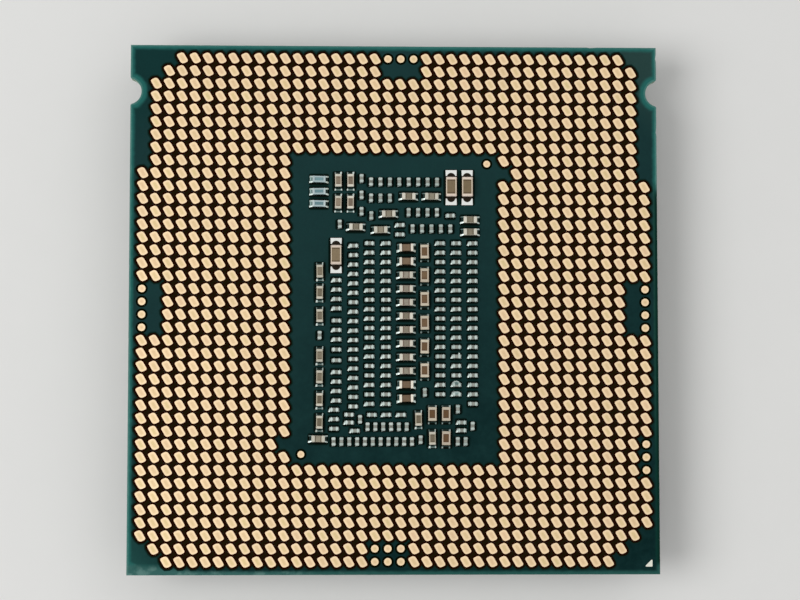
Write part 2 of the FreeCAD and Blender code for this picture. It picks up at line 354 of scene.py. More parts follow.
class Graph:
    """Short calls that add nodes to a tree and link them."""

    def __init__(self, tree: bpy.types.NodeTree) -> None:
        """Start on an existing tree."""
        self.tree = tree

    def feed(self, socket: Socket, value: object) -> None:
        """Link a socket to another one, or set its own value.

        Args:
            socket: The input to fill.
            value: An output to link to it, or a plain value.
        """
        if isinstance(value, Socket):
            self.tree.links.new(value, socket)
        else:
            socket.default_value = value

    def add(self, kind: str, inputs: dict[str, object] | None = None, **settings: object) -> bpy.types.Node:
        """Add a node.

        Args:
            kind: Its type.
            inputs: Values or sockets for its inputs, by name or identifier.
            settings: Its other properties.

        Returns:
            The node.
        """
        node = self.tree.nodes.new(kind)
        for name, value in settings.items():
            setattr(node, name, value)
        for name, value in (inputs or {}).items():
            known = {socket.identifier: socket for socket in node.inputs}
            self.feed(known.get(name) or node.inputs[name], value)
        return node

    @staticmethod
    def out(node: bpy.types.Node, identifier: str) -> Socket:
        """The output with a given identifier."""
        return next(socket for socket in node.outputs if socket.identifier == identifier)

    def math(self, operation: str, *operands: object) -> Socket:
        """Add a Math node.

        Args:
            operation: What it works out.
            operands: Values or sockets, in the operation's order.

        Returns:
            Its result.
        """
        node = self.tree.nodes.new("ShaderNodeMath")
        node.operation = operation
        for socket, value in zip(node.inputs, operands):
            self.feed(socket, value)
        return node.outputs[0]

    def fade(self, value: object, start: float, stop: float) -> Socket:
        """A soft rise from 0 where the value is start to 1 where it is stop."""
        limits = {"Value": value, "From Min": start, "From Max": stop}
        return self.add("ShaderNodeMapRange", limits, interpolation_type="SMOOTHSTEP").outputs["Result"]

    def scale(self, value: object, low: float, high: float) -> Socket:
        """Spread a value of 0 to 1 evenly over low to high."""
        limits = {"Value": value, "To Min": low, "To Max": high}
        return self.add("ShaderNodeMapRange", limits).outputs["Result"]

    def mix(self, share: object, first: object, second: object, blend: str = "MIX") -> Socket:
        """Blend two colours.

        Args:
            share: How much of the second one there is.
            first, second: The colours.
            blend: The way they blend.

        Returns:
            The blended colour.
        """
        inputs = {"Factor_Float": share, "A_Color": first, "B_Color": second}
        node = self.add("ShaderNodeMix", inputs, data_type="RGBA", blend_type=blend)
        return self.out(node, "Result_Color")

    def tint(self, colour: object, shade: object) -> Socket:
        """Multiply a colour by a shade."""
        grey = self.add("ShaderNodeCombineColor", {"Red": shade, "Green": shade, "Blue": shade})
        return self.mix(1.0, colour, grey.outputs["Color"], "MULTIPLY")

    def attribute(self, name: str) -> Socket:
        """Read a painted value."""
        return self.add("ShaderNodeAttribute", attribute_name=name).outputs["Fac"]

    @cached_property
    def place(self) -> Socket:
        """Object coordinates."""
        return self.add("ShaderNodeTexCoord").outputs["Object"]

    @cached_property
    def axes(self) -> list[Socket]:
        """Object coordinates along X, Y and Z."""
        return list(self.add("ShaderNodeSeparateXYZ", {"Vector": self.place}).outputs)

    def noise(self, size: float, detail: float = 3.0) -> Socket:
        """Soft random blotches of about a given size."""
        inputs = {"Vector": self.place, "Scale": 1 / size, "Detail": detail}
        return self.add("ShaderNodeTexNoise", inputs).outputs["Fac"]


class Effects:
    """Shader node groups that several finishes share, each built once."""

    _groups: dict[str, bpy.types.NodeTree] = {}
    specks_per_blotch = 7.0
    streak_stretch = 0.02

    @classmethod
    def group(
        cls, name: str, inputs: dict[str, str], outputs: dict[str, str]
    ) -> tuple[bpy.types.NodeTree, bool]:
        """Find or start a group.

        Args:
            name: The group's name.
            inputs, outputs: Socket names and their types.

        Returns:
            The group, and whether it is new.
        """
        if name in cls._groups:
            return cls._groups[name], False
        tree = bpy.data.node_groups.new(name, "ShaderNodeTree")
        for label, kind in inputs.items():
            tree.interface.new_socket(label, in_out="INPUT", socket_type=kind)
        for label, kind in outputs.items():
            tree.interface.new_socket(label, in_out="OUTPUT", socket_type=kind)
        cls._groups[name] = tree
        return tree, True

    @classmethod
    def grain(cls) -> bpy.types.NodeTree:
        """Fine unevenness: a shade that goes up and down over the surface, and a height for bump.

        Returns:
            The group, with inputs for the place, the blotches' size and the depth of the shade.
        """
        number = "NodeSocketFloat"
        tree, new = cls.group(
            "fine_grain",
            {"Place": "NodeSocketVector", "Size": number, "Depth": number},
            {"Shade": number, "Height": number},
        )
        if new:
            graph = Graph(tree)
            given = graph.add("NodeGroupInput")
            wide = graph.math("DIVIDE", 1.0, given.outputs["Size"])
            tight = graph.math("MULTIPLY", wide, cls.specks_per_blotch)
            blotch = graph.add(
                "ShaderNodeTexNoise", {"Vector": given.outputs["Place"], "Scale": wide, "Detail": 3.0}
            )
            speck = graph.add(
                "ShaderNodeTexNoise", {"Vector": given.outputs["Place"], "Scale": tight, "Detail": 2.0}
            )
            both = graph.math("ADD", blotch.outputs["Fac"], speck.outputs["Fac"])
            swing = graph.math("MULTIPLY", graph.math("SUBTRACT", both, 1.0), given.outputs["Depth"])
            graph.add(
                "NodeGroupOutput",
                {"Shade": graph.math("ADD", swing, 1.0), "Height": speck.outputs["Fac"]},
            )
        return tree

    @classmethod
    def streaks(cls) -> bpy.types.NodeTree:
        """Fine straight scratches along one direction.

        Returns:
            The group, with inputs for the place, the scratches' turn and their width.
        """
        number = "NodeSocketFloat"
        tree, new = cls.group(
            "fine_streaks",
            {"Place": "NodeSocketVector", "Turn": number, "Width": number},
            {"Streak": number},
        )
        if new:
            graph = Graph(tree)
            given = graph.add("NodeGroupInput")
            turn = graph.add("ShaderNodeCombineXYZ", {"Z": given.outputs["Turn"]})
            turned = graph.add(
                "ShaderNodeVectorRotate",
                {"Vector": given.outputs["Place"], "Rotation": turn.outputs["Vector"]},
                rotation_type="EULER_XYZ",
            )
            along = graph.math("DIVIDE", 1.0, given.outputs["Width"])
            slow = graph.math("MULTIPLY", along, cls.streak_stretch)
            spread = graph.add("ShaderNodeCombineXYZ", {"X": slow, "Y": along, "Z": along})
            scaled = graph.add(
                "ShaderNodeVectorMath",
                {"Vector": turned.outputs["Vector"], "Vector_001": spread.outputs["Vector"]},
                operation="MULTIPLY",
            )
            line = graph.add(
                "ShaderNodeTexNoise", {"Vector": scaled.outputs["Vector"], "Scale": 1.0, "Detail": 3.0}
            )
            graph.add("NodeGroupOutput", {"Streak": line.outputs["Fac"]})
        return tree


@dataclass(frozen=True)
class Finish:
    """What every finish has: its name, roughness, metal share, gloss and grain."""

    built: ClassVar[dict[str, bpy.types.Material]] = {}

    name: str
    roughness: float = 0.5
    metallic: float = 0.0
    specular: float = 0.5
    grain_size: float = 0.2 * MM
    grain_depth: float = 0.1
    bump: float = 0.002 * MM
    bump_strength: float = 0.3

    def colour(self, graph: Graph) -> Socket | Colour:
        """The colour before its grain. Each finish gives its own."""
        raise NotImplementedError

    def shine(self, graph: Graph, shader: bpy.types.Node, shade: Socket) -> None:
        """Set the roughness, a little uneven with the grain."""
        graph.feed(shader.inputs["Roughness"], graph.math("MULTIPLY", shade, self.roughness))

    def material(self) -> bpy.types.Material:
        """Build the material, or find it where a piece already has it.

        Returns:
            A node material with the finish's colour, grain, roughness and bump.
        """
        if self.name in self.built:
            return self.built[self.name]
        material = self.built[self.name] = bpy.data.materials.new(self.name)
        material.use_nodes = True
        graph = Graph(material.node_tree)
        shader = material.node_tree.nodes["Principled BSDF"]
        inputs = {"Place": graph.place, "Size": self.grain_size, "Depth": self.grain_depth}
        grain = graph.add("ShaderNodeGroup", inputs, node_tree=Effects.grain())
        shade = grain.outputs["Shade"]
        graph.feed(shader.inputs["Base Color"], graph.tint(self.colour(graph), shade))
        shader.inputs["Metallic"].default_value = self.metallic
        shader.inputs["Specular IOR Level"].default_value = self.specular
        self.shine(graph, shader, shade)
        bump = graph.add(
            "ShaderNodeBump",
            {"Strength": self.bump_strength, "Distance": self.bump, "Height": grain.outputs["Height"]},
        )
        graph.feed(shader.inputs["Normal"], bump.outputs["Normal"])
        return material


@dataclass(frozen=True)
class PlainFinish(Finish):
    """One colour with a grain."""

    base: Colour = (0.5, 0.5, 0.5, 1.0)

    def colour(self, graph: Graph) -> Colour:
        """The one colour."""
        return self.base


@dataclass(frozen=True)
class GoldFinish(Finish):
    """Gold plating that is painted paler along its rim as a highlight, and differs a little from land to
    land.
    """

    yellow: Colour = srgb(209, 188, 138)
    rose: Colour = srgb(215, 184, 149)
    # Painted highlight: the paler colour along each land's rim.
    rim: Colour = srgb(235, 209, 171)
    stain_size: float = 7 * MM
    stain_span: Span = (0.3, 0.7)
    stain_share: float = 0.3
    tone_share: float = 0.7
    rim_span: Span = (0.0, 0.9)
    dimmest: float = 0.94
    dim_cycles: float = 37.0

    def colour(self, graph: Graph) -> Socket:
        """Yellow to rose by land and by place, with the painted rim highlight over it.

        Args:
            graph: Where the nodes go.

        Returns:
            The colour.
        """
        stain = graph.fade(graph.noise(self.stain_size, detail=2.0), *self.stain_span)
        tone = graph.attribute("tone")
        stained = graph.math("MULTIPLY", stain, self.stain_share)
        share = graph.math("MULTIPLY_ADD", tone, self.tone_share, stained)
        edge = graph.fade(graph.attribute("rim"), *self.rim_span)
        gold = graph.mix(edge, graph.mix(share, self.yellow, self.rose), self.rim)
        swing = graph.math("FRACT", graph.math("MULTIPLY", tone, self.dim_cycles))
        return graph.tint(gold, graph.scale(swing, self.dimmest, 1.0))


@dataclass(frozen=True)
class MaskFinish(Finish):
    """Green solder mask, darker to the lower right, with a paler margin, a painted sheen along its low edge
    and a bright cut edge.

    Each span gives where a fade starts and where it is full. Those along a side or over a corner are in
    half sides of the laminate.
    """

    half_side: float = 0.0
    notch_x: float = 0.0
    notch_y: float = 0.0
    notch_radius: float = 0.0
    top: float = 0.0
    bottom: float = 0.0
    upper: Colour = srgb(23, 52, 52)
    lower: Colour = srgb(2, 32, 32)
    cloud: Colour = srgb(22, 55, 54)
    haze: Colour = srgb(38, 64, 61)
    low_haze: Colour = srgb(30, 74, 70)
    deep: Colour = srgb(14, 49, 48)
    margin: Colour = srgb(36, 98, 92)
    right_margin: Colour = srgb(28, 70, 60)
    right_low: Colour = srgb(8, 54, 46)
    right_rim: Colour = srgb(4, 42, 34)
    # The low edge's margin colour is partly the real paler margin and partly painted sheen; sheen and glare
    # are painted reflection.
    low_margin_and_sheen: Colour = srgb(38, 84, 78)
    sheen: Colour = srgb(54, 98, 93)
    glare: Colour = srgb(112, 150, 142)
    cut: Colour = srgb(140, 184, 174)
    core: Colour = srgb(122, 138, 96)
    copper: Colour = srgb(84, 66, 40)
    slope: Span = (0.6, -1.4)
    slope_span: Span = (-1.0, 1.6)
    cloud_size: float = 2.2 * MM
    cloud_span: Span = (0.35, 0.8)
    cloud_share: float = 0.45
    speck_size: float = 0.35 * MM
    speck_span: Span = (0.3, 0.75)
    speck_share: float = 0.25
    haze_corner: Span = (1.6, 1.9)
    deep_corner: Span = (1.5, 1.8)
    low_corner: Span = (-1.72, -2.0)
    margin_start: float = 0.12 * MM
    margin_stop: float = 0.43 * MM
    margin_waver: float = 0.16 * MM
    waver_size: float = 0.45 * MM
    notch_extra: float = 0.12 * MM
    right_side: Span = (0.955, 0.97)
    under_notch: Span = (0.5, 0.42)
    right_fall: Span = (-0.3, -0.65)
    rim_span: Span = (0.14 * MM, 0.24 * MM)
    low_side: Span = (-0.95, -0.975)
    low_strip: Span = (-0.945, -0.96)
    low_shift: float = 0.04 * MM
    low_left: Span = (-0.7, -0.88)
    low_stretch: float = 0.43
    sheen_span: Span = (-0.05, -0.6)
    glare_size: float = 0.7 * MM
    glare_span: Span = (0.46, 0.66)
    glare_share: float = 0.45
    cut_width: float = 0.17 * MM
    cut_waver: float = 0.1 * MM
    cut_strength: float = 0.2
    cut_side: Span = (0.97, 0.985)
    cut_beside: Span = (0.42, 0.5)
    rim_reach: Span = (1.0, 0.5)
    notch_reach: Span = (1.3, 0.6)
    notch_cut: float = 0.8
    end_cut: float = 0.5
    wall_span: Span = (0.004 * MM, 0.02 * MM)
    layer_gap: float = 0.075 * MM
    layer_span: Span = (0.014 * MM, 0.006 * MM)
    fibre_size: float = 0.08 * MM
    fibre_span: Span = (0.3, 0.7)

    def along(self, graph: Graph, value: object, span: Span, sign: int = 1) -> Socket:
        """A fade over a span in half sides, towards the positive or the negative end."""
        return graph.fade(value, sign * span[0] * self.half_side, sign * span[1] * self.half_side)

    def field_colour(self, graph: Graph) -> Socket:
        """The mask's colour away from its edge: darker downwards and to the right, with faint clouds.

        Args:
            graph: Where the nodes go.

        Returns:
            The colour.
        """
        x, y, _ = graph.axes
        slope = graph.math("MULTIPLY_ADD", x, self.slope[0], graph.math("MULTIPLY", y, self.slope[1]))
        mask = graph.mix(self.along(graph, slope, self.slope_span), self.upper, self.lower)
        cloud = graph.fade(graph.noise(self.cloud_size, detail=4.0), *self.cloud_span)
        speck = graph.fade(graph.noise(self.speck_size, detail=2.0), *self.speck_span)
        specks = graph.math("MULTIPLY", speck, self.speck_share)
        mask = graph.mix(graph.math("MULTIPLY_ADD", cloud, self.cloud_share, specks), mask, self.cloud)
        rising, falling = graph.math("ADD", x, y), graph.math("SUBTRACT", y, x)
        for value, corner, colour in (
            (rising, self.haze_corner, self.haze),
            (falling, self.deep_corner, self.deep),
            (rising, self.low_corner, self.low_haze),
        ):
            mask = graph.mix(self.along(graph, value, corner), mask, colour)
        return mask

    def margin_colour(self, graph: Graph, straight: Socket) -> Socket:
        """The margin's colour: palest on the left, dark low on the right, and along the low edge a painted
        sheen with painted glare streaks towards the left.

        Args:
            graph: Where the nodes go.
            straight: The distance from the nearest straight side.

        Returns:
            The colour.
        """
        x, y, _ = graph.axes
        on_right = self.along(graph, x, self.right_side)
        beside = graph.math("MULTIPLY", on_right, self.along(graph, y, self.under_notch))
        right = graph.mix(self.along(graph, y, self.right_fall), self.right_margin, self.right_low)
        right = graph.mix(graph.fade(straight, *self.rim_span), self.right_rim, right)
        leftward = self.along(graph, x, self.sheen_span)
        streak = graph.fade(graph.noise(self.glare_size), *self.glare_span)
        glare = graph.math("MULTIPLY", streak, graph.math("MULTIPLY", leftward, self.glare_share))
        low = graph.mix(glare, graph.mix(leftward, self.low_margin_and_sheen, self.sheen), self.glare)
        return graph.mix(self.along(graph, y, self.low_side), graph.mix(beside, self.margin, right), low)

    def wall_colour(self, graph: Graph) -> Socket:
        """The routed side: glass fibre with thin copper layers.

        Args:
            graph: Where the nodes go.

        Returns:
            The colour.
        """
        layer = graph.math("PINGPONG", graph.axes[2], self.layer_gap)
        weave = graph.fade(graph.noise(self.fibre_size), *self.fibre_span)
        board = graph.mix(weave, self.core, self.cut)
        return graph.mix(graph.fade(layer, *self.layer_span), board, self.copper)

    def distances(self, graph: Graph) -> tuple[Socket, Socket]:
        """How far a place is from the outline.

        Args:
            graph: Where the nodes go.

        Returns:
            The distance from the nearest straight side, and from the nearest notch.
        """
        x, y, _ = graph.axes
        across = graph.math("ABSOLUTE", x)
        straight = graph.math(
            "MINIMUM",
            graph.math("SUBTRACT", self.half_side, across),
            graph.math("SUBTRACT", self.half_side, graph.math("ABSOLUTE", y)),
        )
        dx = graph.math("POWER", graph.math("SUBTRACT", self.notch_x, across), 2.0)
        dy = graph.math("POWER", graph.math("SUBTRACT", y, self.notch_y), 2.0)
        reach = graph.math("SQRT", graph.math("ADD", dx, dy))
        return straight, graph.math("SUBTRACT", reach, self.notch_radius)

    def margin_share(self, graph: Graph, straight: Socket, notch: Socket, waver: Socket) -> Socket:
        """How much margin there is at a place. The margin is widest low on the left, where it also carries
        the painted sheen.

        Args:
            graph: Where the nodes go.
            straight, notch: The distances from the outline.
            waver: What makes the margin's border uneven.

        Returns:
            A share from 0 in the field to 1 in the margin.
        """
        x, y, _ = graph.axes
        low = self.along(graph, y, self.low_strip)
        wide = graph.math("MULTIPLY", self.along(graph, x, self.low_left), low)
        lower = graph.math("MULTIPLY", low, self.low_shift)
        shift = graph.math("MULTIPLY_ADD", waver, self.margin_waver, lower)
        near = graph.math("MINIMUM", straight, graph.math("SUBTRACT", notch, self.notch_extra))
        stretch = graph.scale(wide, 1.0, self.low_stretch)
        edge = graph.math("MULTIPLY", graph.math("ADD", near, shift), stretch)
        return graph.fade(edge, self.margin_stop, self.margin_start)

    def cut_share(self, graph: Graph, straight: Socket, notch: Socket, waver: Socket) -> Socket:
        """How much bright cut edge shows: on the left, high on the right, at the notches and their end.

        Args:
            graph: Where the nodes go.
            straight, notch: The distances from the outline.
            waver: What makes the edge uneven.

        Returns:
            A share from 0 to the cut's full strength.
        """
        x, y, _ = graph.axes
        right = self.along(graph, x, self.cut_side)
        at_rim, at_notch = (
            [share * self.cut_width for share in reach] for reach in (self.rim_reach, self.notch_reach)
        )
        round_notch = graph.fade(notch, *at_notch)
        strength = self.along(graph, x, self.cut_side, -1)
        for part in (
            graph.math("MULTIPLY", right, self.along(graph, y, self.cut_beside)),
            graph.math("MULTIPLY", round_notch, self.notch_cut),
            graph.math("MULTIPLY", self.along(graph, y, self.cut_side), self.end_cut),
        ):
            strength = graph.math("MAXIMUM", strength, part)
        strength = graph.math("MULTIPLY", strength, self.cut_strength)
        rim = graph.math("MULTIPLY_ADD", waver, self.cut_waver, graph.math("MINIMUM", straight, notch))
        return graph.math("MULTIPLY", graph.fade(rim, *at_rim), strength)

    def colour(self, graph: Graph) -> Socket:
        """Field, margin and cut edge by their distance from the outline, and the side by height.

        Args:
            graph: Where the nodes go.

        Returns:
            The colour.
        """
        straight, notch = self.distances(graph)
        waver = graph.math("SUBTRACT", graph.noise(self.waver_size), 0.5)
        margin = self.margin_colour(graph, straight)
        share = self.margin_share(graph, straight, notch, waver)
        top = graph.mix(share, self.field_colour(graph), margin)
        top = graph.mix(self.cut_share(graph, straight, notch, waver), top, self.cut)
        thin, full = self.wall_span
        under = graph.fade(graph.axes[2], self.top - thin, self.top - full)
        over = graph.fade(graph.axes[2], self.bottom + thin, self.bottom + full)
        return graph.mix(graph.math("MULTIPLY", under, over), top, self.wall_colour(graph))


@dataclass(frozen=True)
class CeramicFinish(Finish):
    """Chip ceramic: a pale edge, a dark line and a coloured middle that differs from chip to chip."""

    specular: float = 0.3
    edge: Colour = srgb(200, 195, 178)
    line: Colour = srgb(92, 74, 54)
    dark: Colour = srgb(120, 104, 78)
    light: Colour = srgb(158, 146, 122)
    line_span: Span = (0.3, 0.55)
    middle_span: Span = (0.65, 0.95)
    warm: Colour | None = None
    warm_below: float = 0.0
    warm_fade: float = 1.0 * MM
    warm_share: float = 0.85
    smudge_size: float = 0.16 * MM
    smudge_span: Span = (0.45, 0.8)
    smudge_share: float = 0.35

    def colour(self, graph: Graph) -> Socket:
        """From edge over line to middle, by the painted value, with a warmer middle low on the part.

        Args:
            graph: Where the nodes go.

        Returns:
            The colour.
        """
        mark = graph.attribute("mark")
        middle = graph.mix(graph.attribute("tone"), self.dark, self.light)
        if self.warm:
            low = graph.fade(graph.axes[1], self.warm_below, self.warm_below - self.warm_fade)
            middle = graph.mix(graph.math("MULTIPLY", low, self.warm_share), middle, self.warm)
        smudge = graph.fade(graph.noise(self.smudge_size), *self.smudge_span)
        middle = graph.mix(graph.math("MULTIPLY", smudge, self.smudge_share), middle, self.line)
        inner = graph.mix(graph.fade(mark, *self.middle_span), self.line, middle)
        return graph.mix(graph.fade(mark, *self.line_span), self.edge, inner)


@dataclass(frozen=True)
class SolderFinish(Finish):
    """Bright solder, with painted shade and a dark painted reflection in its hollows, where its surface
    turns away.
    """

    # Painted reflection and shade: bright where the solder would catch the light, darker where it would
    # mirror dark surroundings and lie in shade.
    bright: Colour = srgb(222, 236, 230)
    dull: Colour = srgb(112, 134, 130)
    hollow_shade: Colour = srgb(14, 36, 32)
    dull_span: Span = (0.1, 0.5)
    bright_span: Span = (0.5, 0.95)

    def colour(self, graph: Graph) -> Socket:
        """From the painted shade in the hollows to bright, by the painted value.

        Args:
            graph: Where the nodes go.

        Returns:
            The colour.
        """
        mark = graph.attribute("mark")
        half = graph.mix(graph.fade(mark, *self.dull_span), self.hollow_shade, self.dull)
        return graph.mix(graph.fade(mark, *self.bright_span), half, self.bright)


@dataclass(frozen=True)
class ShadeFinish(Finish):
    """Painted shadow: solder mask that darkens towards a chip, standing in for the shade round it."""

    rim: Colour = srgb(9, 36, 33)
    dark: Colour = srgb(5, 9, 4)
    cloud_size: float = 0.5 * MM
    cloud_span: Span = (0.35, 0.75)
    clouded: float = 0.75

    def colour(self, graph: Graph) -> Socket:
        """From the rim to the chip, by the painted value, with faint clouds.

        Args:
            graph: Where the nodes go.

        Returns:
            The colour.
        """
        cloud = graph.fade(graph.noise(self.cloud_size), *self.cloud_span)
        share = graph.math("MULTIPLY", graph.attribute("mark"), graph.scale(cloud, 1.0, self.clouded))
        return graph.mix(share, self.rim, self.dark)


@dataclass(frozen=True)
class TinFinish(Finish):
    """Tinned chip ends, which differ a little from chip to chip and darken towards their foot."""

    grain_size: float = 0.12 * MM
    grain_depth: float = 0.08
    pale: Colour = srgb(214, 212, 196)
    grey: Colour = srgb(190, 188, 172)
    foot: Colour = srgb(150, 148, 134)
    patch_size: float = 0.12 * MM
    patch_span: Span = (0.5, 0.85)
    patch_share: float = 0.3

    def colour(self, graph: Graph) -> Socket:
        """Pale to grey by chip, darker at the foot and in small patches.

        Args:
            graph: Where the nodes go.

        Returns:
            The colour.
        """
        top = graph.mix(graph.attribute("tone"), self.pale, self.grey)
        patch = graph.fade(graph.noise(self.patch_size, detail=2.0), *self.patch_span)
        patches = graph.math("MULTIPLY", patch, self.patch_share)
        return graph.mix(graph.math("MAXIMUM", graph.attribute("mark"), patches), top, self.foot)


@dataclass(frozen=True)
class NickelFinish(Finish):
    """Nickel plating with fine scratches in two directions."""

    base: Colour = srgb(205, 203, 198)
    worn: Colour = srgb(222, 216, 204)
    blotch_size: float = 6 * MM
    blotch_span: Span = (0.35, 0.75)
    blotch_share: float = 0.3
    scratches: tuple[tuple[float, float], ...] = ((0.35, 0.03 * MM), (1.9, 0.05 * MM))
    smoothest: float = 0.7
    roughest: float = 1.3

    def colour(self, graph: Graph) -> Socket:
        """Grey nickel with warmer blotches."""
        blotch = graph.fade(graph.noise(self.blotch_size), *self.blotch_span)
        return graph.mix(graph.math("MULTIPLY", blotch, self.blotch_share), self.base, self.worn)

    def shine(self, graph: Graph, shader: bpy.types.Node, shade: Socket) -> None:
        """Roughness that follows the scratches, each set with a turn and a width.

        Args:
            graph: Where the nodes go.
            shader: The surface's shader.
            shade: The grain.
        """
        total = shade
        for turn, width in self.scratches:
            inputs = {"Place": graph.place, "Turn": turn, "Width": width}
            streak = graph.add("ShaderNodeGroup", inputs, node_tree=Effects.streaks())
            wear = graph.scale(streak.outputs["Streak"], self.smoothest, self.roughest)
            total = graph.math("MULTIPLY", total, wear)
        graph.feed(shader.inputs["Roughness"], graph.math("MULTIPLY", total, self.roughness))


@dataclass
class Scatter:
    """A Geometry Nodes tree that sets a template of one or more parts on every point of a mesh."""

    parts: int
    turn: float = 0.0
    seed: int = 1
    tree: bpy.types.NodeTree = field(init=False)
    sockets: dict[str, str] = field(init=False, default_factory=dict)
    turn_seed_step: ClassVar[int] = 7

    def __post_init__(self) -> None:
        """Build the tree with its named inputs."""
        self.tree = bpy.data.node_groups.new(f"scatter_{self.parts}_part", "GeometryNodeTree")
        kinds = {"Points": "NodeSocketGeometry", "Turn": "NodeSocketFloat", "Seed": "NodeSocketInt"}
        for part in range(self.parts):
            kinds[f"Template {part}"] = "NodeSocketObject"
            kinds[f"Material {part}"] = "NodeSocketMaterial"
            kinds[f"Variant {part}"] = "NodeSocketFloat"
        for label, kind in kinds.items():
            socket = self.tree.interface.new_socket(label, in_out="INPUT", socket_type=kind)
            self.sockets[label] = socket.identifier
        self.tree.interface.new_socket("Geometry", in_out="OUTPUT", socket_type="NodeSocketGeometry")
        graph = Graph(self.tree)
        given = graph.add("NodeGroupInput")
        seed = given.outputs["Seed"]
        tone = graph.add("FunctionNodeRandomValue", {"Seed": seed}, data_type="FLOAT")
        back = graph.math("MULTIPLY", given.outputs["Turn"], -1.0)
        turn_seed = graph.math("ADD", seed, self.turn_seed_step)
        turn = graph.add(
            "FunctionNodeRandomValue",
            {"Min_001": back, "Max_001": given.outputs["Turn"], "Seed": turn_seed},
            data_type="FLOAT",
        )
        euler = graph.add("ShaderNodeCombineXYZ", {"Z": graph.out(turn, "Value_001")})
        variant = graph.add("GeometryNodeInputNamedAttribute", {"Name": "variant"}, data_type="FLOAT")
        joined = graph.add("GeometryNodeJoinGeometry")
        for part in range(self.parts):
            template = graph.add(
                "GeometryNodeObjectInfo",
                {"Object": given.outputs[f"Template {part}"], "As Instance": False},
            )
            wanted = given.outputs[f"Variant {part}"]
            gap = graph.math("ABSOLUTE", graph.math("SUBTRACT", variant.outputs["Attribute"], wanted))
            same = graph.math("LESS_THAN", gap, 0.5)
            everywhere = graph.math("LESS_THAN", wanted, ALL_POINTS / 2)
            chosen = graph.math("MAXIMUM", same, everywhere)
            instances = graph.add(
                "GeometryNodeInstanceOnPoints",
                {
                    "Points": given.outputs["Points"],
                    "Selection": chosen,
                    "Instance": template.outputs["Geometry"],
                    "Rotation": euler.outputs["Vector"],
                },
            )
            stored = graph.add(
                "GeometryNodeStoreNamedAttribute",
                {
                    "Geometry": instances.outputs["Instances"],
                    "Name": "tone",
                    "Value": graph.out(tone, "Value_001"),
                },
                data_type="FLOAT",
                domain="INSTANCE",
            )
            real = graph.add("GeometryNodeRealizeInstances", {"Geometry": stored.outputs["Geometry"]})
            painted = graph.add(
                "GeometryNodeSetMaterial",
                {"Geometry": real.outputs["Geometry"], "Material": given.outputs[f"Material {part}"]},
            )
            graph.feed(joined.inputs["Geometry"], painted.outputs["Geometry"])
        graph.add("NodeGroupOutput", {"Geometry": joined.outputs["Geometry"]})

    def run(
        self,
        name: str,
        points: Sequence[Vector],
        templates: Sequence[bpy.types.Mesh],
        materials: Sequence[bpy.types.Material],
        variants: Sequence[float] = (),
        wanted: Sequence[float] = (),
    ) -> bpy.types.Object:
        """Set the template on every point and turn the result into a plain mesh.

        Args:
            name: The new piece's name.
            points: Where the copies stand.
            templates: One mesh for each part of the template.
            materials: One material for each part.
            variants: One number for each point, or none.
            wanted: The number of the points that each part stands on, or ALL_POINTS.

        Returns:
            The piece, at the origin and with no modifier.
        """
        cloud = bpy.data.meshes.new(f"{name}_points")
        cloud.from_pydata([tuple(p) for p in points], [], [])
        numbers = variants or [0.0] * len(points)
        cloud.attributes.new("variant", "FLOAT", "POINT").data.foreach_set("value", numbers)
        carrier = stand(f"{name}_carrier", cloud)
        helpers = [stand(f"{name}_template_{k}", mesh) for k, mesh in enumerate(templates)]
        modifier = carrier.modifiers.new("scatter", "NODES")
        modifier.node_group = self.tree
        modifier[self.sockets["Turn"]] = self.turn
        modifier[self.sockets["Seed"]] = self.seed
        for part, (helper, material) in enumerate(zip(helpers, materials)):
            modifier[self.sockets[f"Template {part}"]] = helper
            modifier[self.sockets[f"Material {part}"]] = material
            modifier[self.sockets[f"Variant {part}"]] = float(wanted[part]) if wanted else ALL_POINTS
        depsgraph = bpy.context.evaluated_depsgraph_get()
        mesh = bpy.data.meshes.new_from_object(
            carrier.evaluated_get(depsgraph), preserve_all_data_layers=True, depsgraph=depsgraph
        )
        mesh.name = name
        for helper in (carrier, *helpers):
            bpy.data.objects.remove(helper)
        return stand(name, mesh)


def bare_board(name: str, base: Colour, grain_size: float = 0.4 * MM) -> PlainFinish:
    """The dull finish of bare substrate, in one of its dark tones.

    Args:
        name: The finish's name.
        base: Its tone.
        grain_size: The size of its blotches.

    Returns:
        The finish.
    """
    return PlainFinish(name, 0.6, 0.0, 0.0, grain_size, 0.5, bump_strength=0.4, base=base)


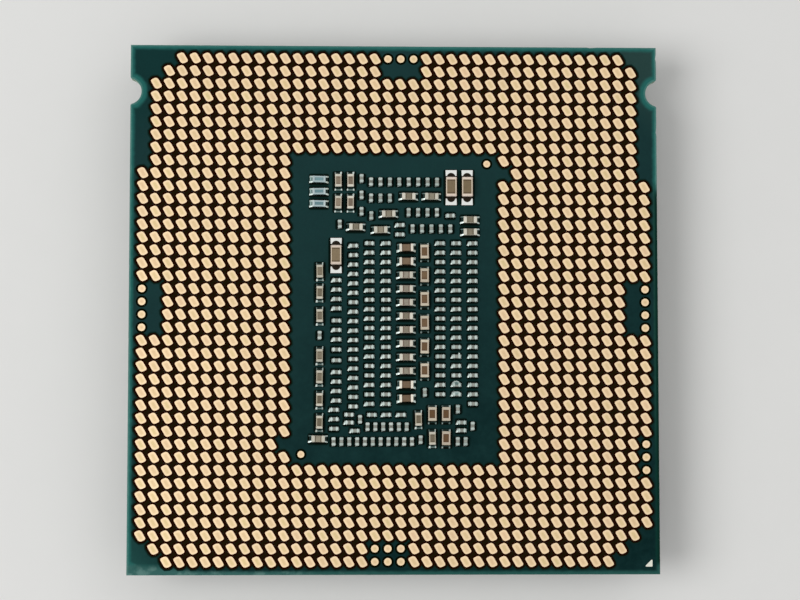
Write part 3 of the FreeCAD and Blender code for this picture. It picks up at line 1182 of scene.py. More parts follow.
@dataclass
class Lands:
    """The gold lands, slanted ones in four fields, round ones and dots, and the dark board round them."""

    nodes: dict[str, bpy.types.Object]
    pitch: float = 0.9144 * MM
    side_slant: float = math.radians(119.6)
    end_slant: float = math.radians(26.2)
    width: float = 0.536 * MM
    length: float = 0.802 * MM
    tight_radius: float = 0.125 * MM
    wide_radius: float = 0.235 * MM
    shoulder: float = 0.012 * MM
    # How far in from its edge a land's painted rim highlight reaches.
    rim_width: float = 0.24 * MM
    round_diameter: float = 0.54 * MM
    dot_diameter: float = 0.49 * MM
    clearing: float = 0.115 * MM
    round_clearing: float = 0.15 * MM
    clearing_height: float = 0.006 * MM
    strip_height: float = 0.0045 * MM
    bed_height: float = 0.0035 * MM
    fringe_height: float = 0.0016 * MM
    shade_height: float = 0.0002 * MM
    hair: float = 0.0003 * MM
    strip: tuple[float, float] = (0.18 * MM, 0.62 * MM)
    bed_side: float = 0.5 * MM
    bed_corner: float = 0.1 * MM
    fringe_width: float = 0.18 * MM
    shade_width: float = 0.26 * MM
    land_arc: int = 4
    plate_arc: int = 3
    disc_points: int = 28
    ring_points: int = 20
    first_seed: int = 11
    gold: Finish = GoldFinish(
        "gold_plating", 0.34, 1.0, grain_size=0.25 * MM, grain_depth=0.07, bump=0.001 * MM
    )
    bare: Finish = bare_board("bare_clearing", srgb(33, 5, 0), 0.3 * MM)
    bed: Finish = bare_board("field_bed", srgb(29, 22, 8))
    halo: Finish = bare_board("round_clearing", srgb(8, 12, 2))
    fringe: Finish = bare_board("field_fringe", srgb(11, 21, 9))
    shade: Finish = PlainFinish(
        "field_shade", 0.5, 0.0, 0.02, 0.4 * MM, 0.4, bump_strength=0.4, base=srgb(14, 38, 34)
    )
    fields: tuple[str, ...] = ("upper_land_field", "left_land_field", "right_land_field", "lower_land_field")
    scatter: Scatter = field(default_factory=lambda: Scatter(1))

    @cached_property
    def thickness(self) -> float:
        """The height of a land."""
        return solid_boxes(self.nodes[self.fields[0]])[0].size.z

    def outline(self, grow: float, arc_points: int) -> Outline:
        """The land's rounded outline, grown outwards by a distance.

        Args:
            grow: The distance, which may be negative.
            arc_points: Points on each corner's arc.

        Returns:
            The outline, anticlockwise.
        """
        skew = math.sin(self.side_slant - self.end_slant)
        side = Vector((math.cos(self.side_slant), math.sin(self.side_slant)))
        end = Vector((math.cos(self.end_slant), math.sin(self.end_slant)))
        side *= (self.length / 2 + grow) / skew
        end *= (self.width / 2 + grow) / skew
        corners = [side + end, side - end, -side - end, end - side]
        wide, tight = (max(radius + grow, self.shoulder) for radius in (self.wide_radius, self.tight_radius))
        return rounded(corners, [wide, tight, wide, tight], arc_points)

    def pad(self, outline: Callable[[float], Outline]) -> bpy.types.Mesh:
        """Build a flat pad with a rounded shoulder and a value painted from its rim inwards, where the
        gold's rim highlight is painted.

        Args:
            outline: Gives the pad's outline grown by a distance.

        Returns:
            The pad's mesh, standing on height zero.
        """
        rings = [
            Ring(outline(0), 0, 1),
            Ring(outline(0), self.thickness - self.shoulder, 1),
            Ring(outline(-self.shoulder), self.thickness, 1),
            Ring(outline(-self.rim_width), self.thickness, 0),
        ]
        return Sketch().stack(rings).mesh("pad", "rim")

    def plate(self, outline: Outline, height: float) -> bpy.types.Mesh:
        """A thin flat plate."""
        return Sketch().stack([Ring(outline, 0), Ring(outline, height)]).mesh("plate")

    def grown(self, grow: float, height: float) -> bpy.types.Mesh:
        """A thin plate in the land's outline, grown outwards."""
        return self.plate(self.outline(grow, self.plate_arc), height)

    def seats(self, node: str, lift: float = 0.0) -> list[Vector]:
        """Where the solids of a node stand.

        Args:
            node: The node's name.
            lift: How much higher every other row stands.

        Returns:
            The middle of each solid's underside.
        """
        seats = []
        for box in solid_boxes(self.nodes[node]):
            row = math.floor(box.centre.y / self.pitch)
            seats.append(box.seat + Vector((0, 0, lift * (row % 2))))
        return seats

    def lattice(self) -> dict[tuple[int, int], Vector]:
        """Find the seats of all slanted lands.

        Returns:
            The seats by their column and row.
        """
        seats = {}
        for name in self.fields:
            for seat in self.seats(name):
                seats[math.floor(seat.x / self.pitch), math.floor(seat.y / self.pitch)] = seat
        return seats

    def outermost(self) -> list[Vector]:
        """Find the lands along the border of the fields.

        Returns:
            Their seats, each a hair above its neighbours, so that plates that overlap don't share a face.
        """
        seats, steps = self.lattice(), [(i, j) for i in (-1, 0, 1) for j in (-1, 0, 1)]
        return [
            seat + Vector((0, 0, self.hair * (i % 2 + 2 * (j % 2))))
            for (i, j), seat in seats.items()
            if any((i + a, j + b) not in seats for a, b in steps)
        ]

    def between(self) -> tuple[list[Vector], list[Vector]]:
        """Places between lands of the lattice.

        Returns:
            The middles between two lands side by side, and the middles among four lands.
        """
        seats = self.lattice()
        right, up = Vector((self.pitch / 2, 0, 0)), Vector((0, self.pitch / 2, 0))
        pairs = [seat + right for (i, j), seat in seats.items() if (i + 1, j) in seats]
        fours = [
            seat + right + up
            for (i, j), seat in seats.items()
            if all(place in seats for place in ((i + 1, j), (i, j + 1), (i + 1, j + 1)))
        ]
        return pairs, fours

    def slanted(self) -> None:
        """Build the slanted lands and the dark clearing round each."""
        land = self.pad(lambda grow: self.outline(grow, self.land_arc))
        hole = self.grown(self.clearing, self.clearing_height)
        for k, name in enumerate(self.fields):
            self.scatter.seed = self.first_seed + k
            place = name.replace("_land_field", "")
            pads = self.scatter.run(f"{place}_land_pads", self.seats(name), [land], [self.gold.material()])
            deliver(pads, "gold_land", name)
            lifted = self.seats(name, self.clearing_height / 3)
            holes = self.scatter.run(f"{place}_clearings", lifted, [hole], [self.bare.material()])
            deliver(holes, "laminate_green")

    def between_and_round(self) -> None:
        """Build the strips and beds between the lands, and the fringe and shade round their fields."""
        strip = self.plate(rounded_block(*self.strip, self.strip[0] / 3), self.strip_height)
        bed = self.plate(rounded_block(self.bed_side, self.bed_side, self.bed_corner), self.bed_height)
        fringe = self.grown(self.fringe_width, self.fringe_height)
        shade = self.grown(self.shade_width, self.shade_height)
        pairs, fours = self.between()
        border = self.outermost()
        for label, places, plate, finish in (
            ("land_strips", pairs, strip, self.bed),
            ("land_beds", fours, bed, self.bed),
            ("field_fringe", border, fringe, self.fringe),
            ("field_shade", border, shade, self.shade),
        ):
            deliver(self.scatter.run(label, places, [plate], [finish.material()]), "laminate_green")

    def discs(self) -> None:
        """Build the round lands, the dots and the dark ring round each."""
        for name, diameter in (("round_lands", self.round_diameter), ("locating_dots", self.dot_diameter)):
            seats = self.seats(name)
            disc = self.pad(lambda grow: circle(diameter / 2 + grow, self.disc_points))
            discs = self.scatter.run(f"{name}_gold", seats, [disc], [self.gold.material()])
            deliver(discs, "gold_land", name)
            outer = circle(diameter / 2 + self.round_clearing, self.ring_points)
            ring = self.plate(outer, self.clearing_height)
            rings = self.scatter.run(f"{name}_clearings", seats, [ring], [self.halo.material()])
            deliver(rings, "laminate_green")

    def build(self) -> None:
        """Build and hand over every land and dot, and the dark board between and round them."""
        self.slanted()
        self.between_and_round()
        self.discs()


@dataclass(frozen=True)
class Horn:
    """Solder at one corner of a chip's end: how far it reaches and spreads, and how bright its painted
    reflection is.
    """

    reach: float = 0.18 * MM
    shine: float = 0.8
    start: float = 0.6
    spread: float = 0.02 * MM


@dataclass(frozen=True)
class Foot:
    """Solder at one end of a chip: a horn at each corner, and between them dark painted shade or a pale
    painted bar.
    """

    low: Horn = Horn()
    high: Horn = Horn()
    middle_reach: float = 0.13 * MM
    gap: float = 0.0
    bar: float = 0.15
    bar_from: float = 0.4
    fill: float = 0.0
    rise: float = 0.4
    sole: float = 0.012 * MM
    soft: float = 0.1
    corner_before: float = 0.12
    steepness: float = 3.0
    corner_ease: float = 1.4
    bulge: float = 0.25
    rows: int = 5
    columns: int = 14

    def form(self, along: float, across: float) -> tuple[float, float, float]:
        """The solder's shape at a share of its reach and of its width.

        Args:
            along: 0 at the chip to 1 at the outer edge.
            across: -1 to 1.

        Returns:
            The reach there, the height as a share of the crest, and the painted value.
        """
        horn = self.low if across < 0 else self.high
        corner = smooth(abs(across), horn.start - self.corner_before, horn.start + self.soft)
        reach = self.middle_reach + (horn.reach - self.middle_reach) * corner
        shine = horn.shine * corner * (self.rise_at(along, self.gap) if self.gap else 1.0)
        bar = self.bar * self.rise_at(along, self.bar_from)
        height = (1 - along) ** (self.steepness - self.corner_ease * corner)
        height += self.bulge * corner * math.sin(math.pi * along)
        return reach, height, max(shine, bar, self.fill)

    def rise_at(self, along: float, middle: float) -> float:
        """A soft rise from 0 to 1 round a share of the reach."""
        return smooth(along, middle - self.soft, middle + self.soft)

    def sketch(self, start: float, width: float, height: float) -> Sketch:
        """The solder's relief, reaching from a wall towards +X.

        Args:
            start: Where the wall stands.
            width: The chip's width.
            height: The chip's height.

        Returns:
            The relief, painted from 0 for dark painted shade to 1 for a bright painted reflection.
        """

        def place(along: float, across: float) -> tuple[Vector, float]:
            """A point of the relief and its painted value.

            Args:
                along: A share of the reach.
                across: -1 to 1 over the width.

            Returns:
                The point and the value.
            """
            reach, share, mark = self.form(along, across)
            horn = self.low if across < 0 else self.high
            y = across * (width / 2 + horn.spread * along)
            return Vector((start + reach * along, y, self.rise * height * share + self.sole)), mark

        return Sketch().relief(self.rows, self.columns, place)


@dataclass(frozen=True)
class Toe(Foot):
    """Solder of a small chip, which slants out to one side and is bright all over."""

    rise: float = 0.3
    roundness: float = 1.5
    rows: int = 2
    columns: int = 4

    def form(self, along: float, across: float) -> tuple[float, float, float]:
        """An even slant from the one corner's reach to the other's, with a rounded back.

        Args:
            along: 0 at the chip to 1 at the outer edge.
            across: -1 to 1.

        Returns:
            The reach there, the height as a share of the crest, and the painted value.
        """
        share = (1 - across) / 2
        reach = self.high.reach + (self.low.reach - self.high.reach) * share
        return reach, 1 - along**self.roundness, self.low.shine


@dataclass(frozen=True)
class Cup(Foot):
    """Solder of a large chip: a flat bright pad with a round cup at the chip, painted dark as shade."""

    depth: float = 0.3 * MM
    half_width: float = 0.31 * MM
    pad_half: float = 0.38 * MM
    shade_reach: float = 0.11 * MM
    shade_reach_span: Span = (-0.02 * MM, 0.015 * MM)
    rim_span: Span = (0.94, 1.06)
    side_fall: float = 0.4
    pad_rise: float = 0.1
    pad_squareness: float = 6.0
    rows: int = 22
    columns: int = 28

    def form(self, along: float, across: float) -> tuple[float, float, float]:
        """A steep fillet in the cup, painted shade in a band along the chip, and a flat pad outside both.

        Args:
            along: 0 at the chip to 1 at the outer edge.
            across: -1 to 1.

        Returns:
            The reach there, the height as a share of the crest, and the painted value.
        """
        x, y = self.middle_reach * along, self.pad_half * across
        inside = math.hypot(x / self.depth, y / self.half_width)
        start, stop = (self.shade_reach + edge for edge in self.shade_reach_span)
        shine = smooth(inside, *self.rim_span) * smooth(x, start, stop)
        slope = max(1 - x / self.depth, 0) ** 2 * (1 - self.side_fall * abs(across))
        return self.middle_reach, slope + self.pad_rise * (1 - along**self.pad_squareness), shine


DULL_SOLDER = SolderFinish("solder_foot", 0.32, 0.4, 0.2, 0.1 * MM)


@dataclass
class ChipBank:
    """One node of like chips: ceramic bodies, tinned ends and solder."""

    node: str
    slot: str
    ceramic: Finish
    tin: Finish
    feet: tuple[Foot, Foot]
    cap: float
    patch_side: float
    patch_end: float = 0.01 * MM
    patch_shift: float = 0.0
    trim: float = 0.035 * MM
    slim: float = 0.035 * MM
    shift: float = 0.0
    waist: float = 0.012 * MM
    bevel: float = 0.03 * MM
    corner: float = 0.03 * MM
    line: float = 0.035 * MM
    line_side: float = 0.015 * MM
    solder: Finish = DULL_SOLDER
    turn: float = math.radians(1.2)
    least_corner: float = 0.012 * MM
    under_caps: float = 0.7
    patch_start: float = 0.65
    # Size of the painted shadow plate round each chip, and of its fade.
    flank: float = 0.17 * MM
    front: float = 0.05 * MM
    fade_width: float = 0.11 * MM
    fade_end: float = 0.03 * MM
    shadow_corners: tuple[float, float] = (0.14 * MM, 0.1 * MM)
    shadow_arc: int = 3
    also: tuple[str, ...] = ()
    plain: tuple[Foot, Foot] | None = None
    plain_share: float = 0.0
    paint: ClassVar[tuple[tuple[float, float], ...]] = ((0.0, 0.15), (0.4, 0.6), (1.4, 0.6), (2.0, 1.0))

    def block(self, length: float, width: float, height: float, foot: float) -> list[Ring]:
        """Describe a block with softened edges.

        Args:
            length, width, height: The block's size.
            foot: The value painted on its lowest ring.

        Returns:
            Its rings, from the lowest up.
        """
        radius = max(self.corner - self.bevel, self.least_corner)
        inner = rounded_block(length - 2 * self.bevel, width - 2 * self.bevel, radius)
        outer = rounded_block(length, width, self.corner)
        return [Ring(outer, 0, foot), Ring(outer, height - self.bevel), Ring(inner, height)]

    def body(self, length: float, width: float, height: float) -> Sketch:
        """The ceramic between the ends, its top painted from the edge over a line to the middle.

        Args:
            length, width, height: The chip's size.

        Returns:
            The ceramic body.
        """
        size = (length - self.under_caps * self.cap, width - 2 * self.waist)
        top = height - self.waist
        rings = self.block(*size, top, 0)
        end = self.cap * self.patch_start + self.patch_end
        for share, mark in self.paint:
            side = self.patch_side + share * self.line_side
            reach = (size[0] - 2 * (end + share * self.line), size[1] - 2 * side)
            patch = rounded_block(*reach, self.bevel / 3)
            rings.append(Ring([point + Vector((0, self.patch_shift)) for point in patch], top, mark))
        return Sketch().stack(rings, Vector((self.shift, 0)))

    def caps(self, length: float, width: float, height: float) -> Sketch:
        """The two tinned ends.

        Args:
            length, width, height: The chip's size.

        Returns:
            Both ends.
        """
        ends = Sketch()
        for side in (-1, 1):
            offset = Vector((self.shift + side * (length - self.cap) / 2, 0))
            ends.stack(self.block(self.cap, width, height, 1), offset)
        return ends

    def joints(self, feet: tuple[Foot, Foot], length: float, width: float, height: float) -> Sketch:
        """The solder at both ends.

        Args:
            feet: The form of the lower or left end's solder, and of the other's.
            length, width, height: The chip's size.

        Returns:
            Both ends' solder.
        """
        first, second = feet
        low = first.sketch(length / 2 - self.shift, width, height)
        high = second.sketch(length / 2 + self.shift, width, height)
        return high.join(low.changed(lambda p: Vector((-p.x, p.y, p.z))))

    def shadow(self, points: Sequence[Vector], upright: bool, height: float) -> Sketch:
        """The painted shadow plate round a chip, which is wider along its long sides.

        Args:
            points: The chip's ends and solder.
            upright: Whether the chip's length runs along Y.
            height: The plate's height.

        Returns:
            A thin plate, painted from 0 at its rim to 1 at the chip.
        """
        low, high = (Vector(pick(p[axis] for p in points) for axis in (0, 1)) for pick in (min, max))
        grow = Vector((self.flank, self.front) if upright else (self.front, self.flank)) * 2
        inset = Vector((self.fade_width, self.fade_end) if upright else (self.fade_end, self.fade_width)) * 2
        size = high - low + grow
        rim = rounded_block(*size, self.shadow_corners[0], self.shadow_arc)
        inner = rounded_block(*(size - inset), self.shadow_corners[1], self.shadow_arc)
        rings = [Ring(rim, 0, 0), Ring(rim, height, 0), Ring(inner, height, 1)]
        return Sketch().stack(rings, (low + high) / 2)

    def build(self, nodes: dict[str, bpy.types.Object], scatter: Scatter, chip_shadow: "ChipShadow") -> None:
        """Build the bank and the painted shadow plates under its chips, and hand both over.

        Args:
            nodes: The CAD nodes.
            scatter: The tree that sets a template's parts.
            chip_shadow: The painted shadow that lies under all banks.
        """
        boxes = solid_boxes(nodes[self.node])
        size = boxes[0].size
        upright = size.y > size.x
        length, width = max(size.x, size.y) - self.trim, min(size.x, size.y) - self.slim
        parts = [shape(length, width, size.z) for shape in (self.body, self.caps)]
        kinds = [self.feet] + [self.plain] * bool(self.plain)
        parts += [self.joints(feet, length, width, size.z) for feet in kinds]
        if upright:
            parts = [part.changed(lambda p: Vector((p.y, p.x, p.z))) for part in parts]
        meshes = [part.mesh(f"{self.node}_{k}") for k, part in enumerate(parts)]
        scatter.turn = self.turn
        seats = [box.seat for box in boxes]
        finishes = (self.ceramic, self.tin, *[self.solder] * len(kinds))
        materials = [finish.material() for finish in finishes]
        chance = random.Random(len(seats))
        variants = [float(chance.random() < self.plain_share) for _ in seats]
        wanted = (ALL_POINTS, ALL_POINTS, *range(len(kinds)))
        piece = scatter.run(f"{self.node}_detailed", seats, meshes, materials, variants, wanted)
        deliver(piece, self.slot, self.node, *self.also)
        # A dark plate round each chip: painted shadow, darkest at the chip.
        plate = self.shadow(parts[1].points + parts[2].points, upright, chip_shadow.height).mesh("plate")
        name, dark = f"{self.node}_ground", chip_shadow.finish.material()
        deliver(chip_shadow.plates.run(name, chip_shadow.lifted(seats), [plate], [dark]), "laminate_green")


@dataclass
class ChipShadow:
    """The painted shadow that surrounds every chip, and the plain tree that sets it."""

    finish: Finish = ShadeFinish("chip_ground", 0.5, 0.0, 0.02, 0.2 * MM, 0.3, 0.002 * MM, 0.3)
    height: float = 0.004 * MM
    step: float = 0.0006 * MM
    steps: int = 5
    plates: Scatter = field(default_factory=lambda: Scatter(1, seed=3))

    def lifted(self, seats: Sequence[Vector]) -> list[Vector]:
        """The seats, each a hair above its neighbours, so that plates that overlap don't share a face."""
        return [seat + Vector((0, 0, self.step * (k % self.steps))) for k, seat in enumerate(seats)]


@dataclass(frozen=True)
class Lump:
    """Excess solder on the upper long side of a small chip: where, how wide and deep, and how pointed."""

    place: Vector
    width: float
    depth: float
    point: float = 1.0
    squareness: float = 1.0
    # The painted reflection value in the lump's middle; its rim is painted bright.
    inner: float = 0.85
    crown: float = 0.62
    height: float = 0.26 * MM
    arc_steps: int = 12
    shoulder: ClassVar[tuple[tuple[float, float, float], ...]] = (
        (1.0, 0.0, 0.7),
        (0.97, 0.5, 0.9),
        (0.8, 0.9, 0.9),
    )

    def sketch(self, floor: float) -> Sketch:
        """The lump as a low dome on the board, with a painted reflection from its middle out to its bright
        rim.

        Args:
            floor: The board's height.

        Returns:
            The dome.
        """
        rings = []
        for share, level, mark in (*self.shoulder, (self.crown, 1.0, self.inner)):
            points = []
            for k in range(self.arc_steps + 1):
                turn = math.pi * k / self.arc_steps
                x = math.copysign(abs(math.cos(turn)) ** self.squareness, math.cos(turn)) * self.width / 2
                points.append(Vector((x * share, self.depth * math.sin(turn) ** self.point * share)))
            rings.append(Ring(points, floor + self.height * level, mark))
        return Sketch().stack(rings, self.place)


@dataclass
class Chips:
    """All chips in the open middle of the contact side."""

    nodes: dict[str, bpy.types.Object]
    first_seed: int = 31
    silver: Finish = TinFinish(
        "silver_end", 0.42, 0.4, grain_size=0.1 * MM,
        pale=srgb(202, 214, 208), grey=srgb(180, 194, 188), foot=srgb(150, 164, 158),
    )
    dull_silver: Finish = TinFinish(
        "dull_silver_end", 0.42, 0.4, grain_size=0.1 * MM,
        pale=srgb(191, 203, 197), grey=srgb(170, 184, 178), foot=srgb(144, 158, 152),
    )
    grey: Finish = TinFinish(
        "grey_end", 0.42, 0.4, grain_size=0.1 * MM,
        pale=srgb(186, 196, 190), grey=srgb(152, 166, 160), foot=srgb(140, 154, 148),
    )
    cream: Finish = TinFinish(
        "cream_end", 0.45, 0.35,
        pale=srgb(210, 206, 192), grey=srgb(184, 182, 168), foot=srgb(140, 136, 122),
    )
    dim_cream: Finish = TinFinish(
        "dim_cream_end", 0.45, 0.35,
        pale=srgb(200, 195, 180), grey=srgb(174, 171, 156), foot=srgb(134, 130, 116),
    )
    sand: Finish = TinFinish(
        "sand_end", 0.45, 0.35,
        pale=srgb(198, 188, 168), grey=srgb(174, 164, 145), foot=srgb(134, 124, 106),
    )
    white: Finish = TinFinish(
        "white_end", 0.42, 0.3,
        pale=srgb(234, 228, 212), grey=srgb(214, 208, 194), foot=srgb(170, 164, 148),
    )
    rosy: Finish = TinFinish(
        "rosy_end", 0.42, 0.3, grain_size=0.16 * MM,
        pale=srgb(220, 204, 190), grey=srgb(202, 187, 173), foot=srgb(110, 98, 84),
    )
    bluish: Finish = TinFinish(
        "bluish_end", 0.42, 0.3,
        pale=srgb(184, 198, 198), grey=srgb(164, 180, 182), foot=srgb(130, 144, 146),
    )
    # Solder of the large chips, with a painted dark shade in its cups.
    bright_solder: Finish = SolderFinish(
        "bright_solder", 0.35, 0.15, 0.1, 0.1 * MM,
        bright=srgb(232, 234, 230), dull=srgb(96, 90, 78), hollow_shade=srgb(30, 22, 12),
    )
    lumps: tuple[Lump, ...] = (
        Lump(Vector((4.37 * MM, -5.42 * MM)), 0.66 * MM, 0.31 * MM, inner=0.35),
        Lump(Vector((4.37 * MM, -6.12 * MM)), 0.66 * MM, 0.26 * MM, point=0.5, squareness=0.7, inner=0.6),
        Lump(Vector((4.58 * MM, -3.36 * MM)), 0.2 * MM, 0.26 * MM, point=2.0),
        Lump(Vector((-1.79 * MM, -2.86 * MM)), 0.2 * MM, 0.24 * MM, point=2.0),
        Lump(Vector((-1.79 * MM, -3.52 * MM)), 0.2 * MM, 0.24 * MM, point=2.0),
    )

    def small_banks(self) -> list[ChipBank]:
        """Describe the banks and rows of small silver chips.

        Returns:
            The banks in the order in which they are built.
        """
        ceramic = CeramicFinish(
            "small_ceramic", grain_size=0.1 * MM,
            edge=srgb(146, 152, 144), line=srgb(126, 130, 120),
            dark=srgb(106, 107, 99), light=srgb(156, 158, 150),
        )
        across = (
            Toe(Horn(0.145 * MM, 1.0, spread=0.0), Horn(0.02 * MM, spread=0.0)),
            Toe(Horn(0.06 * MM, 1.0, spread=-0.015 * MM), Horn(0.05 * MM, spread=-0.03 * MM)),
        )
        stubby = (
            Toe(Horn(0.065 * MM, 1.0, spread=-0.05 * MM), Horn(0.055 * MM, spread=-0.05 * MM)),
            Toe(Horn(0.06 * MM, 1.0, spread=-0.05 * MM), Horn(0.05 * MM, spread=-0.05 * MM)),
        )
        upright = (
            Toe(Horn(0.06 * MM, 0.75, spread=0.0), Horn(0.004 * MM, spread=0.0)),
            Toe(Horn(0.012 * MM, 0.75, spread=0.0), Horn(0.012 * MM, spread=0.0)),
        )
        small_turn = math.radians(1.6)
        banks = [
            ChipBank(
                name, "small_chip", ceramic, silver, across, cap=0.19 * MM, patch_side=0.03 * MM,
                trim=0.06 * MM, slim=0.0, shift=0.038 * MM, waist=0.022 * MM, corner=0.07 * MM,
                line=0.02 * MM, line_side=0.01 * MM, turn=small_turn, plain=stubby, plain_share=0.36,
            )
            for name, silver in (
                ("left_bank_capacitors", self.silver),
                ("middle_bank_capacitors", self.silver),
                ("right_bank_capacitors", self.dull_silver),
            )
        ]
        rows = [
            ChipBank(
                name, "small_chip", ceramic, self.grey, upright, cap=0.2 * MM, patch_side=0.03 * MM,
                trim=0.05 * MM, slim=0.015 * MM, shift=0.02 * MM, waist=0.018 * MM, corner=0.045 * MM,
                line=0.02 * MM, line_side=0.01 * MM, turn=small_turn, flank=0.2 * MM,
            )
            for name in ("upper_row_capacitors", "lower_row_capacitors")
        ]
        return banks + rows

    def across_banks(self) -> list[ChipBank]:
        """Describe the medium chips that lie across: in the open, in the middle column, and the blue ones.

        Returns:
            The banks in the order in which they are built.
        """
        tan = CeramicFinish(
            "tan_ceramic",
            edge=srgb(196, 190, 172), line=srgb(76, 66, 48),
            dark=srgb(114, 106, 87), light=srgb(145, 138, 119),
        )
        rose = CeramicFinish(
            "rose_ceramic",
            edge=srgb(204, 190, 174), line=srgb(84, 66, 52),
            dark=srgb(120, 111, 93), light=srgb(150, 142, 127),
        )
        brown = CeramicFinish(
            "spine_brown_ceramic",
            edge=srgb(96, 72, 52), line=srgb(76, 52, 34),
            dark=srgb(104, 83, 62), light=srgb(120, 99, 77),
        )
        blue = CeramicFinish(
            "blue_ceramic", 0.45,
            edge=srgb(166, 186, 188), line=srgb(92, 112, 118),
            dark=srgb(92, 126, 132), light=srgb(116, 152, 156),
        )
        slanted = (
            Foot(Horn(0.235 * MM, 0.9, 0.48, 0.06 * MM), Horn(0.2 * MM, 0.42, 0.7, 0.0), bar=0.1),
            Foot(Horn(0.19 * MM, 0.85, 0.55, 0.05 * MM), Horn(0.19 * MM, 0.78, 0.55, 0.02 * MM), bar=0.1),
        )
        bow = (
            Foot(Horn(0.2 * MM, 0.9, 0.4, 0.07 * MM), Horn(0.15 * MM, 0.5, 0.66, 0.0), bar=0.2),
            Foot(Horn(0.17 * MM, 0.95, 0.45, 0.06 * MM), Horn(0.18 * MM, 0.95, 0.4, 0.02 * MM), bar=0.15),
        )
        blobs = (
            Foot(
                Horn(0.23 * MM, 0.92, 0.52, 0.04 * MM), Horn(0.21 * MM, 0.7, 0.5, 0.01 * MM),
                middle_reach=0.2 * MM, fill=0.52,
            ),
            Foot(Horn(0.2 * MM, 0.95, 0.5, 0.04 * MM), Horn(0.2 * MM, 0.9, 0.5, 0.02 * MM), bar=0.2),
        )
        medium = [
            ChipBank(
                name, slot, ceramic, self.cream, slanted, cap=0.225 * MM, patch_side=0.02 * MM,
                trim=0.065 * MM, shift=0.016 * MM, line=0.045 * MM, line_side=0.004 * MM,
            )
            for name, slot, ceramic in (
                ("level_medium_capacitors", "tan_ceramic", tan),
                ("spine_capacitors", "rose_ceramic", rose),
            )
        ]
        return medium + [
            ChipBank(
                "brown_spine_capacitors", "brown_ceramic", brown, self.white, bow, cap=0.2 * MM,
                patch_side=0.0, patch_end=0.0, slim=-0.045 * MM, shift=0.025 * MM, line=0.03 * MM,
            ),
            ChipBank(
                "blue_chip_parts", "blue_ceramic", blue, self.bluish, blobs, cap=0.145 * MM,
                patch_side=0.11 * MM, trim=0.09 * MM, shift=0.035 * MM, line=0.025 * MM,
            ),
        ]

    def upright_banks(self) -> list[ChipBank]:
        """Describe the upright chips: medium, at the upper left, wide brown, and large with cupped solder.

        Returns:
            The banks in the order in which they are built.
        """
        tan = CeramicFinish(
            "dark_tan_ceramic",
            edge=srgb(180, 172, 150), line=srgb(70, 60, 42),
            dark=srgb(90, 80, 60), light=srgb(128, 118, 98),
        )
        umber = CeramicFinish(
            "umber_ceramic",
            edge=srgb(200, 190, 170), line=srgb(84, 66, 52),
            dark=srgb(108, 94, 78), light=srgb(144, 130, 110),
        )
        brown = CeramicFinish(
            "brown_ceramic",
            edge=srgb(196, 182, 162), line=srgb(66, 42, 22),
            dark=srgb(96, 70, 42), light=srgb(112, 89, 63),
            warm=srgb(86, 58, 24), warm_below=-5.5 * MM,
        )
        large = CeramicFinish(
            "large_ceramic", 0.45, grain_size=0.15 * MM, grain_depth=0.14,
            edge=srgb(222, 206, 184), line=srgb(80, 62, 42),
            dark=srgb(115, 98, 71), light=srgb(131, 114, 87),
        )
        framed = (
            Foot(
                Horn(0.24 * MM, 1.0, 0.5, 0.05 * MM), Horn(0.23 * MM, 0.75, 0.6, 0.03 * MM),
                middle_reach=0.22 * MM, gap=0.35, bar=0.36, bar_from=0.55,
            ),
            Foot(Horn(0.17 * MM, 0.6, 0.72), Horn(0.19 * MM, 0.82, 0.66)),
        )
        barred = (
            Foot(
                Horn(0.25 * MM, 1.0, 0.6, 0.04 * MM), Horn(0.25 * MM, 0.95, 0.66, 0.04 * MM),
                middle_reach=0.24 * MM, gap=0.5, bar=0.48, bar_from=0.64,
            ),
            Foot(Horn(0.17 * MM, 0.66, 0.66), Horn(0.19 * MM, 1.0, 0.52, 0.03 * MM)),
        )
        winged = (
            Foot(Horn(0.23 * MM, 0.7, 0.6, 0.01 * MM), Horn(0.23 * MM, 0.52, 0.62, 0.0), gap=0.42, bar=0.0),
            Foot(Horn(0.12 * MM, 0.6, 0.72), Horn(0.14 * MM, 1.0, 0.62)),
        )
        cups = (
            Cup(middle_reach=0.575 * MM, depth=0.36 * MM),
            Cup(middle_reach=0.54 * MM, depth=0.34 * MM),
        )
        return [
            ChipBank(
                "upright_medium_capacitors", "tan_ceramic", tan, self.dim_cream, framed, cap=0.17 * MM,
                patch_side=0.06 * MM, trim=0.11 * MM, shift=-0.01 * MM,
            ),
            ChipBank(
                "corner_capacitors", "rose_ceramic", umber, self.cream, barred, cap=0.165 * MM,
                patch_side=0.06 * MM, trim=0.12 * MM, shift=0.014 * MM,
            ),
            ChipBank(
                "wide_capacitors", "brown_ceramic", brown, self.sand, winged, cap=0.175 * MM,
                patch_side=0.08 * MM, patch_shift=-0.02 * MM, trim=0.065 * MM, slim=0.05 * MM,
            ),
            ChipBank(
                "large_capacitors", "tan_ceramic", large, self.rosy, cups, cap=0.17 * MM,
                patch_side=0.068 * MM, patch_end=0.0, patch_shift=-0.018 * MM, trim=0.12 * MM,
                slim=0.045 * MM, shift=0.01 * MM, bevel=0.045 * MM, corner=0.045 * MM, line=0.06 * MM,
                line_side=0.01 * MM, solder=self.bright_solder, turn=0.0, also=("large_capacitor_solder",),
            ),
        ]

    def build(self) -> None:
        """Build every bank and the lumps of excess solder."""
        chip_shadow = ChipShadow()
        scatters = {False: Scatter(3), True: Scatter(4)}
        for k, bank in enumerate(self.small_banks() + self.across_banks() + self.upright_banks()):
            scatter = scatters[bank.plain is not None]
            scatter.seed = self.first_seed + k
            bank.build(self.nodes, scatter, chip_shadow)
        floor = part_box("right_bank_capacitors")[0].z
        lumps = Sketch()
        for lump in self.lumps:
            lumps.join(lump.sketch(floor))
        mesh = lumps.mesh("solder_lumps")
        mesh.materials.append(DULL_SOLDER.material())
        deliver(stand("solder_lumps", mesh), "small_chip")


